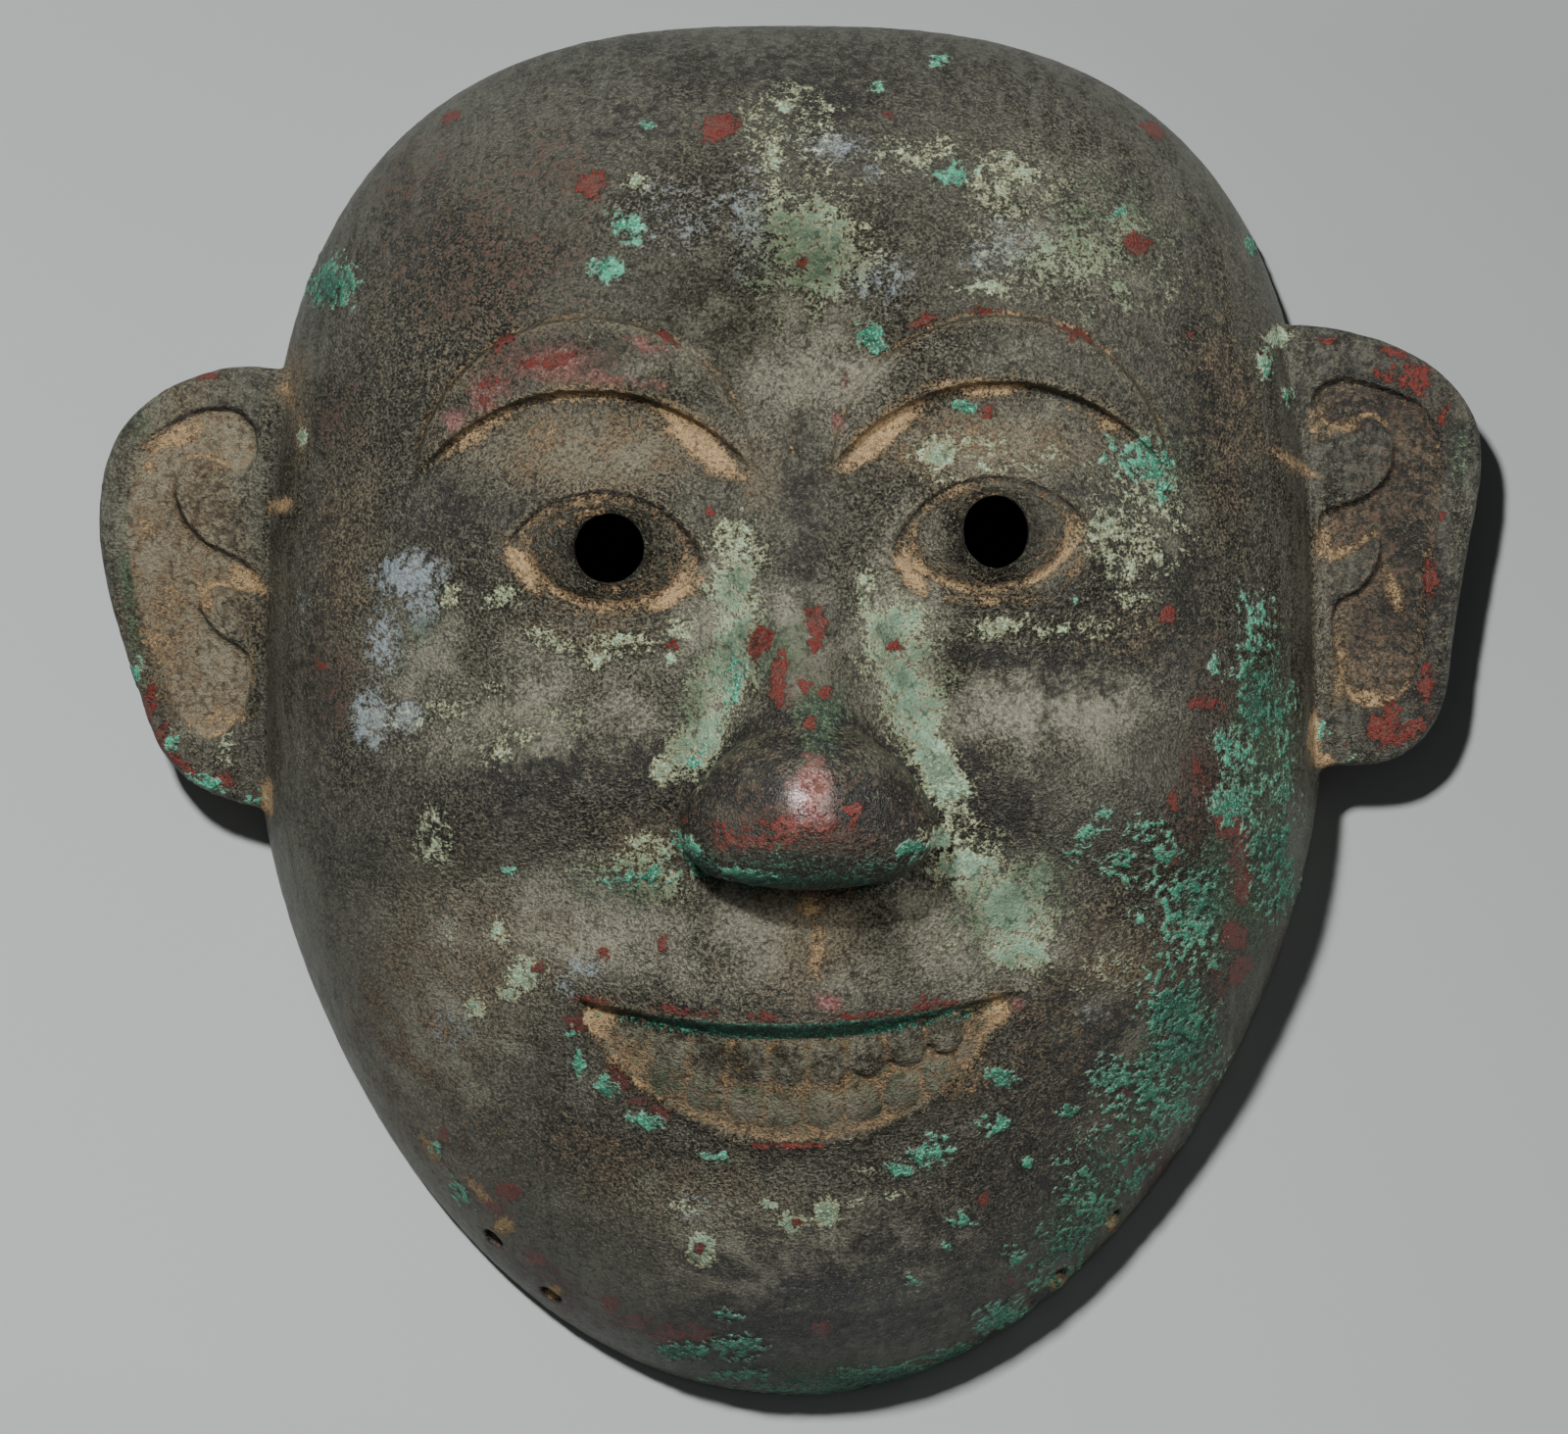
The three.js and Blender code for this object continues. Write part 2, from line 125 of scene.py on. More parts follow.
MOUTH = {"x": 1.1, "y": -46.4, "half_span": 35.6, "upper_sag": 4.4, "lower_sag": 24.4, "tilt": 0.02}
MOUTH_DEPTH = {
    "deep": 3.0, "shallow": 0.9, "foot_edge": (-0.25, 0.35),
    "top": -0.2, "steep": 0.5, "sloping": 2.4, "slope_share": 0.6,
}
UPPER_LIP = {"rise": 0.5, "out": 1.8, "half": 1.8, "ends_at": 0.4, "span_share": 0.7}
LOWER_LIP = {"rise": 0.45, "out": 0.7, "half": 0.7}
# How far the hollow follows the mouth, in shares of the mouth's own size
BEHIND_MOUTH = (0.8, 0.6)
PHILTRUM = {"x": 3.0, "top": -29.0, "foot": -50.0, "half_x": 2.3, "depth": 0.5, "ends": (-3, 1)}
# Wrinkles between the brows: where they cross the middle line, or stand beside it
ACROSS_WRINKLES = {
    "y": (40.5, 43.5, 46.5), "x": 2.0, "bend": 0.01, "half": 0.45, "reach": 8.0, "depth": 0.25,
}
UPRIGHT_WRINKLES = {
    "x": (-5.5, 8.5), "y": 44.0, "half": 1.0, "reach": 9.0, "depth": 0.35,
    "lean": 0.012, "upright_x": 1.5, "upright_y": 42.0,
}
# The casting's slow undulation: size and height of its waves, and their seed
UNDULATION = [(18, 0.25, 11), (6, 0.08, 12)]

# Rows of teeth: number, spacing, middle, and how much the row's ends rise
TEETH_ROWS = [
    {"count": 9, "pitch": 6.4, "x": -0.4, "y": -57.4, "curl": 0.0085, "half_x": 3.3, "half_y": 3.9},
    {"count": 8, "pitch": 6.4, "x": 2.2, "y": -64.9, "curl": 0.0105, "half_x": 3.2, "half_y": 3.4},
]
TOOTH_RISE = 0.85
TEETH_SEED = 7

# The nose: its ridge, which widens down from the forehead, its bulb and the nostrils
RIDGE = {
    "x": 2.0, "top": 56.0, "foot": -26.0, "rise": 23.0, "power": 1.85,
    "narrow": 7.0, "wide": 15.0, "edge": 2.0, "foot_fade": 14.0,
}
BULB = {
    "x": 2.9, "y": -17.6, "z": 73.0, "half_x": 20.8, "up": 15.0, "down": 11.2, "half_z": 14.5,
    "square": 2.5, "widest": 4.0,
}
BULB_TAPER = {"tip": 0.32, "ridge": 0.3}
# How softly the bulb meets the face: sharp below, flowing into the ridge above
BULB_BLEND = {"sharp": 0.7, "flowing": 7.0, "between": (-9, 2)}
NOSTRILS = {
    "x": (-4.8, 10.6), "y": -25.5, "z": 73.5, "half_x": 4.2, "half_z": 2.4, "length": 9.0, "tilt": 0.35,
}

# The holes for the ties, slanting out through the jaw
TIE_HOLE = {"r": 1.9, "z": 11.0, "slope": 0.9}
TIE_HOLES = [(-48.4, -86.6), (-40.0, -98.1), (54.1, -85.6), (45.5, -96.7)]

# Ears: flat plates with a scroll sunk into the front. Its wall is steep, and gentle towards the helix. An
# ear's floor says what lies in the scroll, and dark how dark the ear is beside it.
EAR = {
    "back": 11.0, "front": 18.0, "edge": 1.8, "recess": 1.9, "roll": 0.9, "rolls": (0.5, 7.0),
    "steep": 0.35, "gentle": 3.0, "helix": (103, 110), "inner": 80.0,
}
LEFT_EAR = {
    "floor": {"soil": 0.14, "grey": 0.7, "dust": 0.7, "warm": 0.0},
    "dark": 0.2,
    "outline": [
        (-85.4, 57.4), (-93, 58), (-101, 56.2), (-108.6, 52), (-114.2, 45), (-116.6, 34),
        (-115.2, 20.7), (-110.2, 4.1), (-106.2, -6.5), (-100.3, -12.4), (-93.7, -15.2), (-87, -16.5),
        (-78, -14), (-78, 55),
    ],
    "recess": [
        (-109.5, 43), (-105.5, 47.4), (-100, 50.4), (-94, 50.8), (-90.2, 47.4), (-90, 42.6), (-93, 40),
        (-97.2, 41.8), (-101, 42.2), (-103.4, 38.5), (-102.6, 33.2), (-98.8, 28.6), (-92.5, 25.2),
        (-89.3, 22.4), (-90.6, 19.8), (-96.5, 20.6), (-99.3, 18), (-97.2, 13.8), (-91.8, 9.8), (-90.6, 5.5),
        (-92.6, -1.4), (-98, -5), (-103, -1), (-107.2, 9.4), (-110.8, 20), (-111.8, 33),
    ],
}
RIGHT_EAR = {
    "floor": {"soil": 0.0, "grey": 0.0, "dust": 0.2, "warm": 0.8},
    "dark": 0.4,
    "outline": [
        (83, 64.9), (92, 64.4), (102, 61.6), (110.5, 56.4), (115.7, 49), (116.6, 40),
        (114.4, 27), (112.2, 14), (110.6, 2.5), (107, -4.6), (100.5, -8.6), (91, -9.3),
        (78, -9), (78, 62),
    ],
    "recess": [
        (88.2, 52.4), (90, 55), (94, 55.8), (100.6, 54), (106.8, 51), (110, 44), (109.8, 33.7),
        (107.8, 22.9), (106, 8), (102.4, 1.6), (96.8, 0.4), (93.2, 4), (91.4, 12), (91.9, 17.8),
        (96.5, 20.8), (99.1, 25), (99, 29), (95.5, 26.9), (91.4, 25.9), (89.3, 29), (89.8, 33.2),
        (96.8, 35.9), (101, 40), (101.4, 45.9), (97.6, 49.2), (93.8, 47.2), (89.9, 48.3),
    ],
}
EARS = (LEFT_EAR, RIGHT_EAR)

# The field: its grid's step and reach past the casting, how steep it is, and the band kept for the skin
FIELD_STEP = 0.5
FIELD_MARGIN = 2.5
FIELD_SCALE = 30.0
FIELD_BAND = 3.0
MOST_TRIANGLES = 185000

# Boxes of the field in which the features are worked out, and the radii where they are joined or cut
NOSE_BOX = ((-28, -38, 42), (34, 10, 96))
EAR_BOXES = [((-121, -24, 5), (-70, 72, 26)), ((70, -24, 5), (121, 72, 26))]
PUPIL_BOX = {"half": (12, 12), "z": (40, 96)}
NOSTRIL_BOX = {"half": (9, 17), "z": (56, 96)}
TIE_HOLE_BOX = {"half": (12, 12), "z": (1, 26)}
RADII = {
    "nose_hollow": 2.0, "hollow": 0.5, "ear": 1.6, "teeth": 0.5, "bore": 0.8, "tie_hole": 0.6, "rim": 0.6,
}

# The view from above in which the stains are placed: millimetres, and the image's pixels
VIEW = {"eye": (-1.0, -1.1, 1150.0), "sensor": 36.0, "lens": 154.3, "width": 1600, "height": 1463}

# The casting's material
BRONZE = "patinated bronze"

# What the fill lights shine on
FILLED = "filled by soft light"

# The lights and the floor in metres, and how the floor's colour falls off across the view, a painted falloff
# of light
LIGHTS = {
    "key": {"at": (-0.24, 0.44, 0.95), "size": 0.075, "fill": False},
    "front": {"at": (0.05, 0.06, 1.35), "size": 0.7, "fill": True},
    "side": {"at": (0.6, 0.34, 1.0), "size": 0.3, "fill": True},
}
ROOM_COLOUR = (0.95, 0.98, 1, 1)
FLOOR_SIZE = 6.0
FLOOR_ROUGHNESS = 0.85
FLOOR_PAINTED_FALLOFF = {"towards": (0.2, 0.98, 0.0), "bright": -0.13, "dim": 0.13}

# Soil in the crevices, and round and on the eyeballs, whose feet are at 1
CREVICE = {"blur": 2.4, "soil": 0.4, "depth": (0.12, 0.7)}
EYE_SOIL = {
    "round": 0.42, "below": 0.2, "edge": (-0.2, 0.5), "down": (-2, 4),
    "ball": 0.3, "ball_edge": 0.4, "ball_starts": 0.5, "ball_ends": 0.86, "foot": 1.02,
}
# Soil on the floors of the ears' scrolls, more along their edges and at their lower ends
EAR_SOIL = {"edge": 0.2, "in": 0.7, "half": 0.8, "foot": 0.4, "drop": 1.3, "floor": (-0.2, 0.6)}
# A painted shadow: a dark line along the edges of the ears' scrolls
EAR_SHADOW = {"dark": 0.9, "out": 0.1, "half": 0.4}
# Stains on the mouth's floor: how strong everywhere, and how much more on the upper and the lower teeth
# and in the middle
MOUTH_FLOOR = {
    "dust": (1.0, -0.7, -0.5, 0.0),
    "dark": (0.04, 0.3, 0.0, 0.16),
    "olive": (0.16, 0.0, 0.2, 0.0),
    "grey": (0.65, 0.0, 0.35, 0.0),
    "gloss": (0.3, 0.0, 0.0, 0.6),
    "coarse": (1.4, 0.0, 0.0, 0.0),
}
MOUTH_SOIL = {"least": 0.08, "between": 0.42, "corners": 0.4, "corner_x": (29, 34), "edge": 0.15}
MOUTH_MIDDLE = {"half": 27.0, "up": (4, 9)}
# Green patina under the upper lip, darkened as painted shade
LIP_GREEN = {"deep": 1.15, "starts": 0.3, "ends": (1.9, 2.8)}
LIP_RIM = {"dark": 0.8, "gloss": 0.9, "out": 0.6, "half": 0.6}
# Where the hollow begins, as a depth under the front, and how far past the shell's sides it is looked for
HOLLOW = {"depth": (1.2, 2.3), "past": 3.0, "fade": (0, 2)}
# Where the ears begin, as a share of the way out to the rim, and the heights of their fronts and edges
EARS_FROM = (1.0, 1.01)
EAR_FRONTS = (13, 15)
EAR_EDGES = {"z": 14.0, "fade": (0, 1.5)}
# A painted shade line under the upper lids, and a rubbed ring round the pupils
LID_SHADE_LINE = {"dark": 0.9, "in": 0.5, "half": 0.7}
PUPIL_RING = {"gloss": 0.9, "out": 0.8, "half": 1.2}
# Deep green along the nose's foot, green patina darkened as painted shade, and a painted shade line in the
# crease round its bulb
NOSE_FOOT = {"deep": 0.34, "drop": 1.5, "depth": (-3.5, -1.0), "y": -25.0, "half_x": 22.0, "half_y": 5.0}
NOSE_CREASE_SHADE = {"dark": 1.2, "apart": (0.5, 2.5), "half_x": 30.0, "half_y": 24.0}
# Edges that stand proud of their surroundings are worn bare, and the walls are streaked
WEAR = {"blur": 2.0, "proud": (0.1, 0.5)}
STREAKED_WALL = (0.78, 0.97)

# How firm a stain's spots are, and how many half widths they reach
SPOT_EDGE = 1.5
SPOT_REACH = 1.6

# Stains, with some painted shade and highlight among them, in the view from above: pixels across and down,
# half width, half height and strength of each soft spot, and its turn in degrees where it has one
STAINS = {
    "warm": [
        (760, 805, 46, 40, 0.7), (900, 825, 46, 40, 0.7), (826, 770, 60, 20, 0.5),
        (430, 1090, 60, 150, 0.5, 25), (1110, 1040, 80, 140, 0.5), (470, 320, 110, 120, 0.2),
        (1245, 420, 50, 150, 0.45), (1150, 650, 60, 40, 0.35), (600, 1170, 90, 40, 0.4, -20),
        (800, 1000, 110, 30, 0.35), (340, 620, 24, 160, 0.35), (1430, 560, 40, 150, 0.4),
    ],
    "grey": [
        (620, 950, 120, 60, 0.77), (1000, 960, 96, 72, 0.68), (820, 370, 96, 72, 0.78),
        (1000, 356, 108, 26, 0.21), (690, 370, 60, 26, 0.59), (1070, 720, 108, 53, 0.77),
        (815, 640, 36, 108, 0.51), (735, 660, 60, 132, 0.59), (920, 660, 60, 132, 0.59),
        (800, 1270, 204, 72, 0.51), (470, 1060, 84, 132, 0.51), (1140, 1060, 72, 108, 0.3),
        (560, 700, 120, 60, 0.51), (1190, 560, 48, 72, 0.34), (560, 740, 156, 60, 0.59),
        (1090, 770, 84, 48, 0.34), (830, 960, 204, 60, 0.51), (800, 300, 108, 108, 0.39),
        (600, 470, 132, 48, 0.3), (1010, 450, 132, 48, 0.3), (440, 680, 72, 72, 0.42),
        (480, 980, 108, 96, 0.42), (700, 1230, 144, 48, 0.3), (810, 1100, 240, 60, 0.51),
        (190, 560, 84, 204, 0.47), (1090, 230, 108, 96, 0.34),
    ],
    "dust": [
        (600, 460, 130, 45, 0.6), (1010, 455, 120, 40, 0.6), (600, 640, 90, 26, 0.35),
        (190, 560, 62, 190, 0.75), (240, 600, 30, 90, 0.5), (1366, 640, 36, 110, 0.3),
        (830, 950, 50, 60, 0.5), (480, 980, 110, 110, 0.35), (360, 560, 40, 140, 0.3),
        (700, 1220, 120, 40, 0.3), (1150, 980, 60, 60, 0.35), (780, 480, 30, 60, 0.4),
        (300, 390, 20, 60, 0.5), (660, 860, 60, 40, 0.4),
    ],
    "rust": [
        (500, 250, 120, 95, 0.28), (430, 180, 60, 50, 0.3), (560, 170, 50, 40, 0.35),
        (820, 700, 40, 60, 0.5), (825, 840, 110, 50, 0.65), (560, 1310, 70, 20, 0.5, -40),
        (500, 1230, 40, 20, 0.4, -45), (665, 1355, 60, 12, 0.6, -12), (782, 1394, 60, 12, 0.7, -5),
        (1228, 800, 26, 60, 0.6, 15), (1264, 900, 30, 70, 0.65, -10), (1200, 990, 26, 60, 0.5, -20),
        (1160, 1110, 40, 60, 0.55, -30), (1300, 960, 14, 50, 0.5, 10), (1250, 700, 40, 50, 0.35),
        (1176, 1189, 28, 44, 0.7, 35), (1232, 999, 28, 24, 0.6), (1229, 1081, 22, 34, 0.6),
        (1240, 870, 50, 80, 0.6), (1415, 560, 50, 150, 0.25), (1440, 410, 60, 40, 0.4),
        (560, 365, 60, 24, 0.5), (340, 700, 30, 60, 0.3), (345, 430, 25, 60, 0.3),
    ],
    "blue": [
        (417, 588, 34, 22, 1.0), (430, 612, 18, 34, 0.7), (378, 734, 18, 30, 0.85),
        (417, 731, 16, 18, 0.85), (392, 650, 18, 40, 0.55), (311, 616, 8, 20, 0.4), (853, 148, 38, 16, 0.6),
        (1015, 229, 14, 10, 0.5), (889, 173, 12, 12, 0.5), (596, 986, 18, 12, 0.6),
        (579, 1006, 11, 11, 0.5), (461, 1041, 28, 34, 0.35), (706, 1231, 28, 18, 0.35),
        (1115, 1030, 20, 16, 0.4), (690, 220, 60, 40, 0.3), (1040, 250, 70, 24, 0.45, 20),
        (880, 290, 50, 30, 0.4), (770, 230, 30, 60, 0.4),
    ],
    # Dark patina; round the nose's bulb and under it the dark spots are partly painted shade
    "dark": [
        (800, 70, 260, 40, 0.5), (1430, 560, 60, 180, 0.45), (1390, 356, 70, 30, 0.35),
        (330, 560, 30, 160, 0.3), (718, 800, 30, 30, 0.6, -30), (930, 790, 26, 30, 0.6, 30),
        (985, 800, 36, 60, 0.6, 20), (660, 800, 40, 50, 0.5), (560, 520, 60, 20, 0.4),
        (1080, 500, 50, 18, 0.4), (850, 104, 34, 20, 1.0), (1010, 668, 60, 14, 0.75, -5),
        (1030, 820, 40, 50, 0.7), (1100, 700, 80, 50, 0.55), (560, 800, 110, 45, 0.6),
        (450, 525, 60, 40, 0.5), (1200, 600, 30, 100, 0.5), (430, 250, 60, 60, 0.35),
        (1220, 420, 40, 60, 0.5), (815, 500, 30, 60, 0.55), (822, 580, 24, 50, 0.5),
        (760, 800, 50, 40, 0.8), (900, 820, 50, 45, 0.9), (715, 840, 24, 30, 0.8), (825, 765, 60, 24, 0.8),
        (830, 885, 90, 14, 0.9), (620, 560, 50, 44, 0.7), (1012, 545, 52, 44, 0.7),
        (840, 1330, 170, 70, 0.6), (960, 1260, 120, 50, 0.45), (1120, 1060, 60, 120, 0.5),
        (1050, 1180, 90, 80, 0.45), (320, 700, 25, 120, 0.4), (640, 120, 70, 40, 0.35),
        (1400, 400, 90, 60, 0.6), (1440, 560, 50, 180, 0.6),
    ],
    # Pink bloom; the spots on the nose's tip are partly a painted highlight
    "pink": [
        (498, 402, 40, 26, 0.52, 30), (565, 372, 66, 20, 0.5, 5), (625, 388, 50, 10, 0.62, -8),
        (462, 428, 14, 15, 0.8), (828, 806, 19, 28, 1.1), (825, 834, 28, 11, 0.8), (855, 432, 8, 12, 0.9),
        (867, 385, 6, 14, 0.6, -10), (846, 1020, 16, 14, 0.9), (1038, 1025, 7, 7, 1.1),
        (660, 352, 24, 6, 0.6, -20),
    ],
    "soil": [
        (715, 452, 62, 17, 1.0, -42), (600, 402, 62, 11, 0.7), (487, 442, 68, 12, 0.64, 34),
        (600, 455, 120, 36, 0.3), (898, 444, 58, 17, 1.0, 41), (1003, 396, 60, 10, 0.8),
        (1110, 422, 60, 10, 0.5, -25), (1000, 452, 110, 30, 0.25), (533, 580, 34, 11, 1.0, -58),
        (690, 606, 38, 11, 1.0, 32), (600, 625, 50, 8, 0.6), (930, 588, 32, 10, 1.0, -52),
        (1098, 580, 24, 8, 0.6, 50), (1010, 612, 60, 7, 0.5), (612, 1040, 22, 20, 1.0),
        (1018, 1030, 18, 18, 1.0), (632, 1072, 34, 24, 0.6, -50), (800, 1110, 190, 50, 0.2),
        (655, 1101, 12, 8, 0.9), (980, 1090, 40, 30, 0.5, 40), (826, 926, 14, 13, 0.9),
        (826, 914, 60, 9, 0.5), (834, 960, 9, 46, 0.62), (180, 446, 36, 14, 1.0, 25),
        (153, 476, 14, 12, 0.8), (150, 542, 14, 14, 0.6), (238, 472, 30, 16, 0.45),
        (286, 516, 14, 9, 1.0, 20), (253, 590, 30, 11, 1.0, -35), (210, 612, 9, 26, 0.7, 20),
        (256, 680, 7, 30, 0.6), (223, 732, 36, 11, 0.7), (273, 815, 8, 24, 1.0), (296, 403, 9, 45, 0.5, 20),
        (306, 470, 8, 50, 0.4), (180, 640, 50, 80, 0.35), (1342, 430, 12, 24, 0.6),
        (1363, 437, 26, 7, 0.6, 10), (1322, 473, 40, 7, 0.6, -30), (1349, 553, 11, 22, 0.6),
        (1363, 567, 28, 7, 0.6, 15), (1366, 680, 9, 48, 0.5), (1397, 711, 24, 9, 0.6),
        (1342, 752, 8, 26, 1.1), (1351, 776, 13, 9, 1.1), (1421, 600, 9, 30, 0.6, 20),
        (514, 1252, 12, 10, 1.0), (565, 1318, 10, 8, 1.0), (1132, 1246, 10, 12, 1.0),
        (1080, 1308, 10, 10, 1.0), (440, 1173, 8, 22, 0.6, 35), (489, 1216, 38, 7, 0.7, -48),
        (425, 1060, 55, 60, 0.3), (1132, 990, 50, 24, 0.35),
    ],
    "pale": [
        (748, 610, 32, 60, 0.75, 10), (738, 690, 30, 60, 0.8, -22), (712, 760, 25, 40, 0.7, -20),
        (915, 650, 44, 50, 0.8, 20), (938, 720, 36, 70, 0.85, 24), (960, 790, 23, 46, 0.8, 20),
        (1000, 890, 60, 40, 0.7, -40), (1035, 940, 56, 44, 0.8, -30), (830, 255, 60, 80, 0.5),
        (1090, 250, 110, 60, 0.38, -20), (655, 880, 70, 26, 0.5), (1160, 520, 60, 70, 0.38),
        (1010, 470, 80, 30, 0.34), (800, 130, 60, 40, 0.3), (835, 235, 45, 40, 0.63),
        (790, 180, 12, 70, 0.57), (845, 290, 30, 30, 0.57), (800, 108, 9, 8, 1.03), (649, 185, 8, 9, 0.98),
        (1035, 180, 70, 26, 0.48, -10), (1100, 262, 70, 38, 0.54, -20), (1150, 240, 30, 30, 0.54),
        (1000, 292, 34, 9, 0.59), (930, 155, 50, 24, 0.4), (510, 608, 22, 14, 0.6),
        (460, 608, 14, 14, 0.52), (560, 652, 34, 12, 0.52, -25), (611, 672, 20, 8, 0.6),
        (640, 655, 40, 12, 0.46), (684, 672, 8, 7, 1.03), (700, 640, 22, 16, 0.57, 30),
        (745, 640, 23, 34, 0.86, 30), (757, 560, 25, 34, 0.63), (722, 750, 15, 40, 0.98, -15),
        (742, 700, 16, 40, 0.92, -20), (678, 790, 12, 16, 0.69), (905, 640, 31, 22, 0.86, -30),
        (925, 700, 23, 34, 1.09, 25), (952, 765, 21, 36, 1.09, 25), (975, 800, 16, 22, 0.92, 30),
        (885, 600, 18, 30, 0.57), (1030, 925, 34, 36, 1.03, 30), (990, 880, 22, 24, 0.92, 40),
        (1060, 900, 14, 24, 0.8), (1040, 968, 40, 22, 0.98), (960, 855, 14, 14, 0.8),
        (970, 960, 26, 12, 0.57), (1140, 580, 24, 26, 0.59), (1155, 610, 24, 10, 0.48),
        (1060, 640, 90, 12, 0.4), (960, 462, 26, 18, 0.64), (1000, 475, 10, 6, 0.88),
        (1185, 505, 34, 34, 0.48), (445, 850, 22, 34, 0.52), (507, 952, 12, 12, 0.8),
        (458, 952, 9, 12, 0.69), (535, 992, 20, 20, 0.75), (519, 1015, 11, 7, 1.03),
        (481, 1029, 13, 13, 0.69), (715, 1272, 15, 17, 1.09), (785, 1229, 10, 5, 0.8),
        (807, 1248, 16, 10, 0.92), (843, 1238, 13, 15, 1.09), (876, 1226, 14, 6, 0.69, 20),
        (912, 1222, 12, 6, 0.57), (703, 1231, 22, 8, 0.52), (883, 1193, 16, 5, 0.69),
        (670, 895, 44, 26, 0.57), (309, 446, 5, 8, 0.92), (230, 762, 14, 18, 0.46),
        (1303, 345, 14, 11, 0.94), (1291, 372, 9, 18, 0.78), (1313, 403, 7, 7, 0.78),
        (1130, 990, 40, 30, 0.34), (490, 740, 90, 40, 0.29),
    ],
    "olive": [
        (800, 660, 44, 40, 0.7), (835, 720, 30, 50, 0.7), (740, 650, 40, 90, 0.45, -10),
        (930, 690, 44, 100, 0.45, 20), (1030, 920, 70, 60, 0.5), (1292, 760, 34, 130, 0.85),
        (1262, 900, 60, 110, 0.85, -15), (1190, 1080, 46, 110, 0.8, -28), (1110, 1230, 34, 70, 0.85, -38),
        (1010, 1372, 70, 18, 0.7, 22), (860, 1402, 180, 18, 0.8), (700, 1378, 60, 14, 0.6, -12),
        (430, 660, 22, 50, 0.4), (150, 425, 34, 16, 0.5, 35), (132, 600, 8, 120, 0.5, 8),
        (1490, 480, 8, 80, 0.4), (820, 886, 110, 12, 0.5), (712, 870, 26, 18, 0.7, -30),
        (935, 690, 40, 80, 0.5, 25), (720, 720, 28, 70, 0.5, -15), (1020, 930, 60, 70, 0.5, 20),
        (1200, 480, 40, 40, 0.45), (1120, 240, 90, 70, 0.4), (820, 260, 60, 70, 0.4),
        (338, 292, 26, 28, 0.7), (640, 900, 60, 30, 0.5),
    ],
    "red": [
        (1228, 800, 26, 50, 0.46, 15), (1262, 880, 26, 60, 0.5, -10), (1200, 985, 20, 40, 0.42, -20),
        (1165, 1105, 34, 50, 0.42, -30), (1240, 1010, 14, 50, 0.48), (1105, 1190, 16, 24, 0.48),
        (498, 402, 40, 18, 0.4, 30), (565, 366, 50, 10, 0.4, 5), (734, 131, 21, 13, 1.15, 25),
        (603, 188, 16, 11, 1.15, 35), (460, 120, 14, 6, 1.0, 30), (514, 348, 17, 5, 0.9, 40),
        (679, 343, 16, 5, 0.8, -35), (909, 116, 8, 7, 0.9), (1178, 133, 13, 7, 0.9, -30),
        (1160, 249, 15, 13, 1.15), (1215, 340, 7, 6, 1.0), (942, 328, 16, 5, 0.8, 20),
        (1002, 317, 16, 4, 0.7), (1097, 340, 16, 5, 0.7, -25), (818, 269, 6, 6, 0.8),
        (1009, 418, 12, 6, 0.8), (1191, 627, 9, 12, 1.05, 10), (1223, 717, 20, 9, 1.1, -10),
        (1223, 784, 6, 13, 0.9), (1197, 818, 9, 11, 0.9), (1252, 838, 17, 24, 0.95, 20),
        (1293, 846, 8, 8, 0.8), (1195, 877, 10, 10, 0.8), (1268, 908, 9, 20, 1.0, -20),
        (1258, 955, 16, 18, 1.1, 20), (1264, 990, 11, 20, 0.9, -20), (1191, 1060, 9, 12, 0.8),
        (1147, 1115, 14, 8, 0.8), (1117, 1154, 9, 8, 0.8), (1004, 1223, 6, 7, 1.1), (1031, 1305, 6, 7, 0.8),
        (1009, 1362, 26, 6, 0.8, 20), (832, 643, 10, 26, 1.1), (795, 690, 9, 34, 1.0, -6),
        (776, 655, 12, 18, 0.95, -30), (820, 700, 10, 12, 0.95, -20), (842, 706, 9, 10, 0.95),
        (826, 738, 8, 8, 1.0), (815, 842, 70, 20, 0.5), (870, 828, 10, 9, 0.95), (790, 856, 40, 13, 0.6),
        (735, 850, 34, 20, 0.5, -30), (723, 520, 6, 6, 0.9), (687, 657, 9, 6, 0.9), (914, 660, 13, 7, 0.8),
        (328, 678, 6, 7, 1.0), (616, 971, 8, 7, 1.0), (677, 965, 6, 9, 1.0), (550, 986, 7, 7, 1.0),
        (645, 892, 8, 5, 0.7), (534, 884, 7, 5, 0.8), (800, 1169, 44, 4, 0.9), (674, 1137, 14, 5, 1.0, -35),
        (651, 1124, 8, 6, 1.0), (630, 1100, 16, 6, 0.8, -45), (583, 1043, 16, 14, 0.75),
        (606, 1021, 26, 5, 0.6, -5), (700, 1032, 40, 4, 0.7, -6), (780, 1037, 40, 4, 0.6),
        (880, 1036, 46, 4, 0.7, 5), (950, 1026, 30, 4, 0.6, 8), (519, 1216, 14, 10, 1.2, -20),
        (504, 1231, 10, 7, 0.9), (452, 1159, 7, 8, 1.0), (622, 1330, 12, 9, 0.85), (650, 1348, 16, 9, 0.75),
        (682, 1362, 20, 12, 0.8), (715, 1362, 15, 9, 0.85), (545, 1283, 16, 9, 0.75, -40),
        (838, 1355, 12, 9, 0.7), (714, 1272, 7, 6, 1.2, 20), (812, 1247, 6, 5, 0.9), (213, 383, 9, 5, 0.8),
        (150, 725, 8, 26, 1.05, -15), (160, 759, 9, 22, 1.05, -25), (230, 795, 14, 9, 0.8),
        (186, 780, 28, 6, 0.8, -38), (1356, 348, 10, 5, 1.0), (1421, 359, 24, 5, 0.8, -15),
        (1418, 382, 18, 12, 0.85), (1447, 390, 20, 24, 0.8, 45), (1473, 420, 9, 14, 0.7),
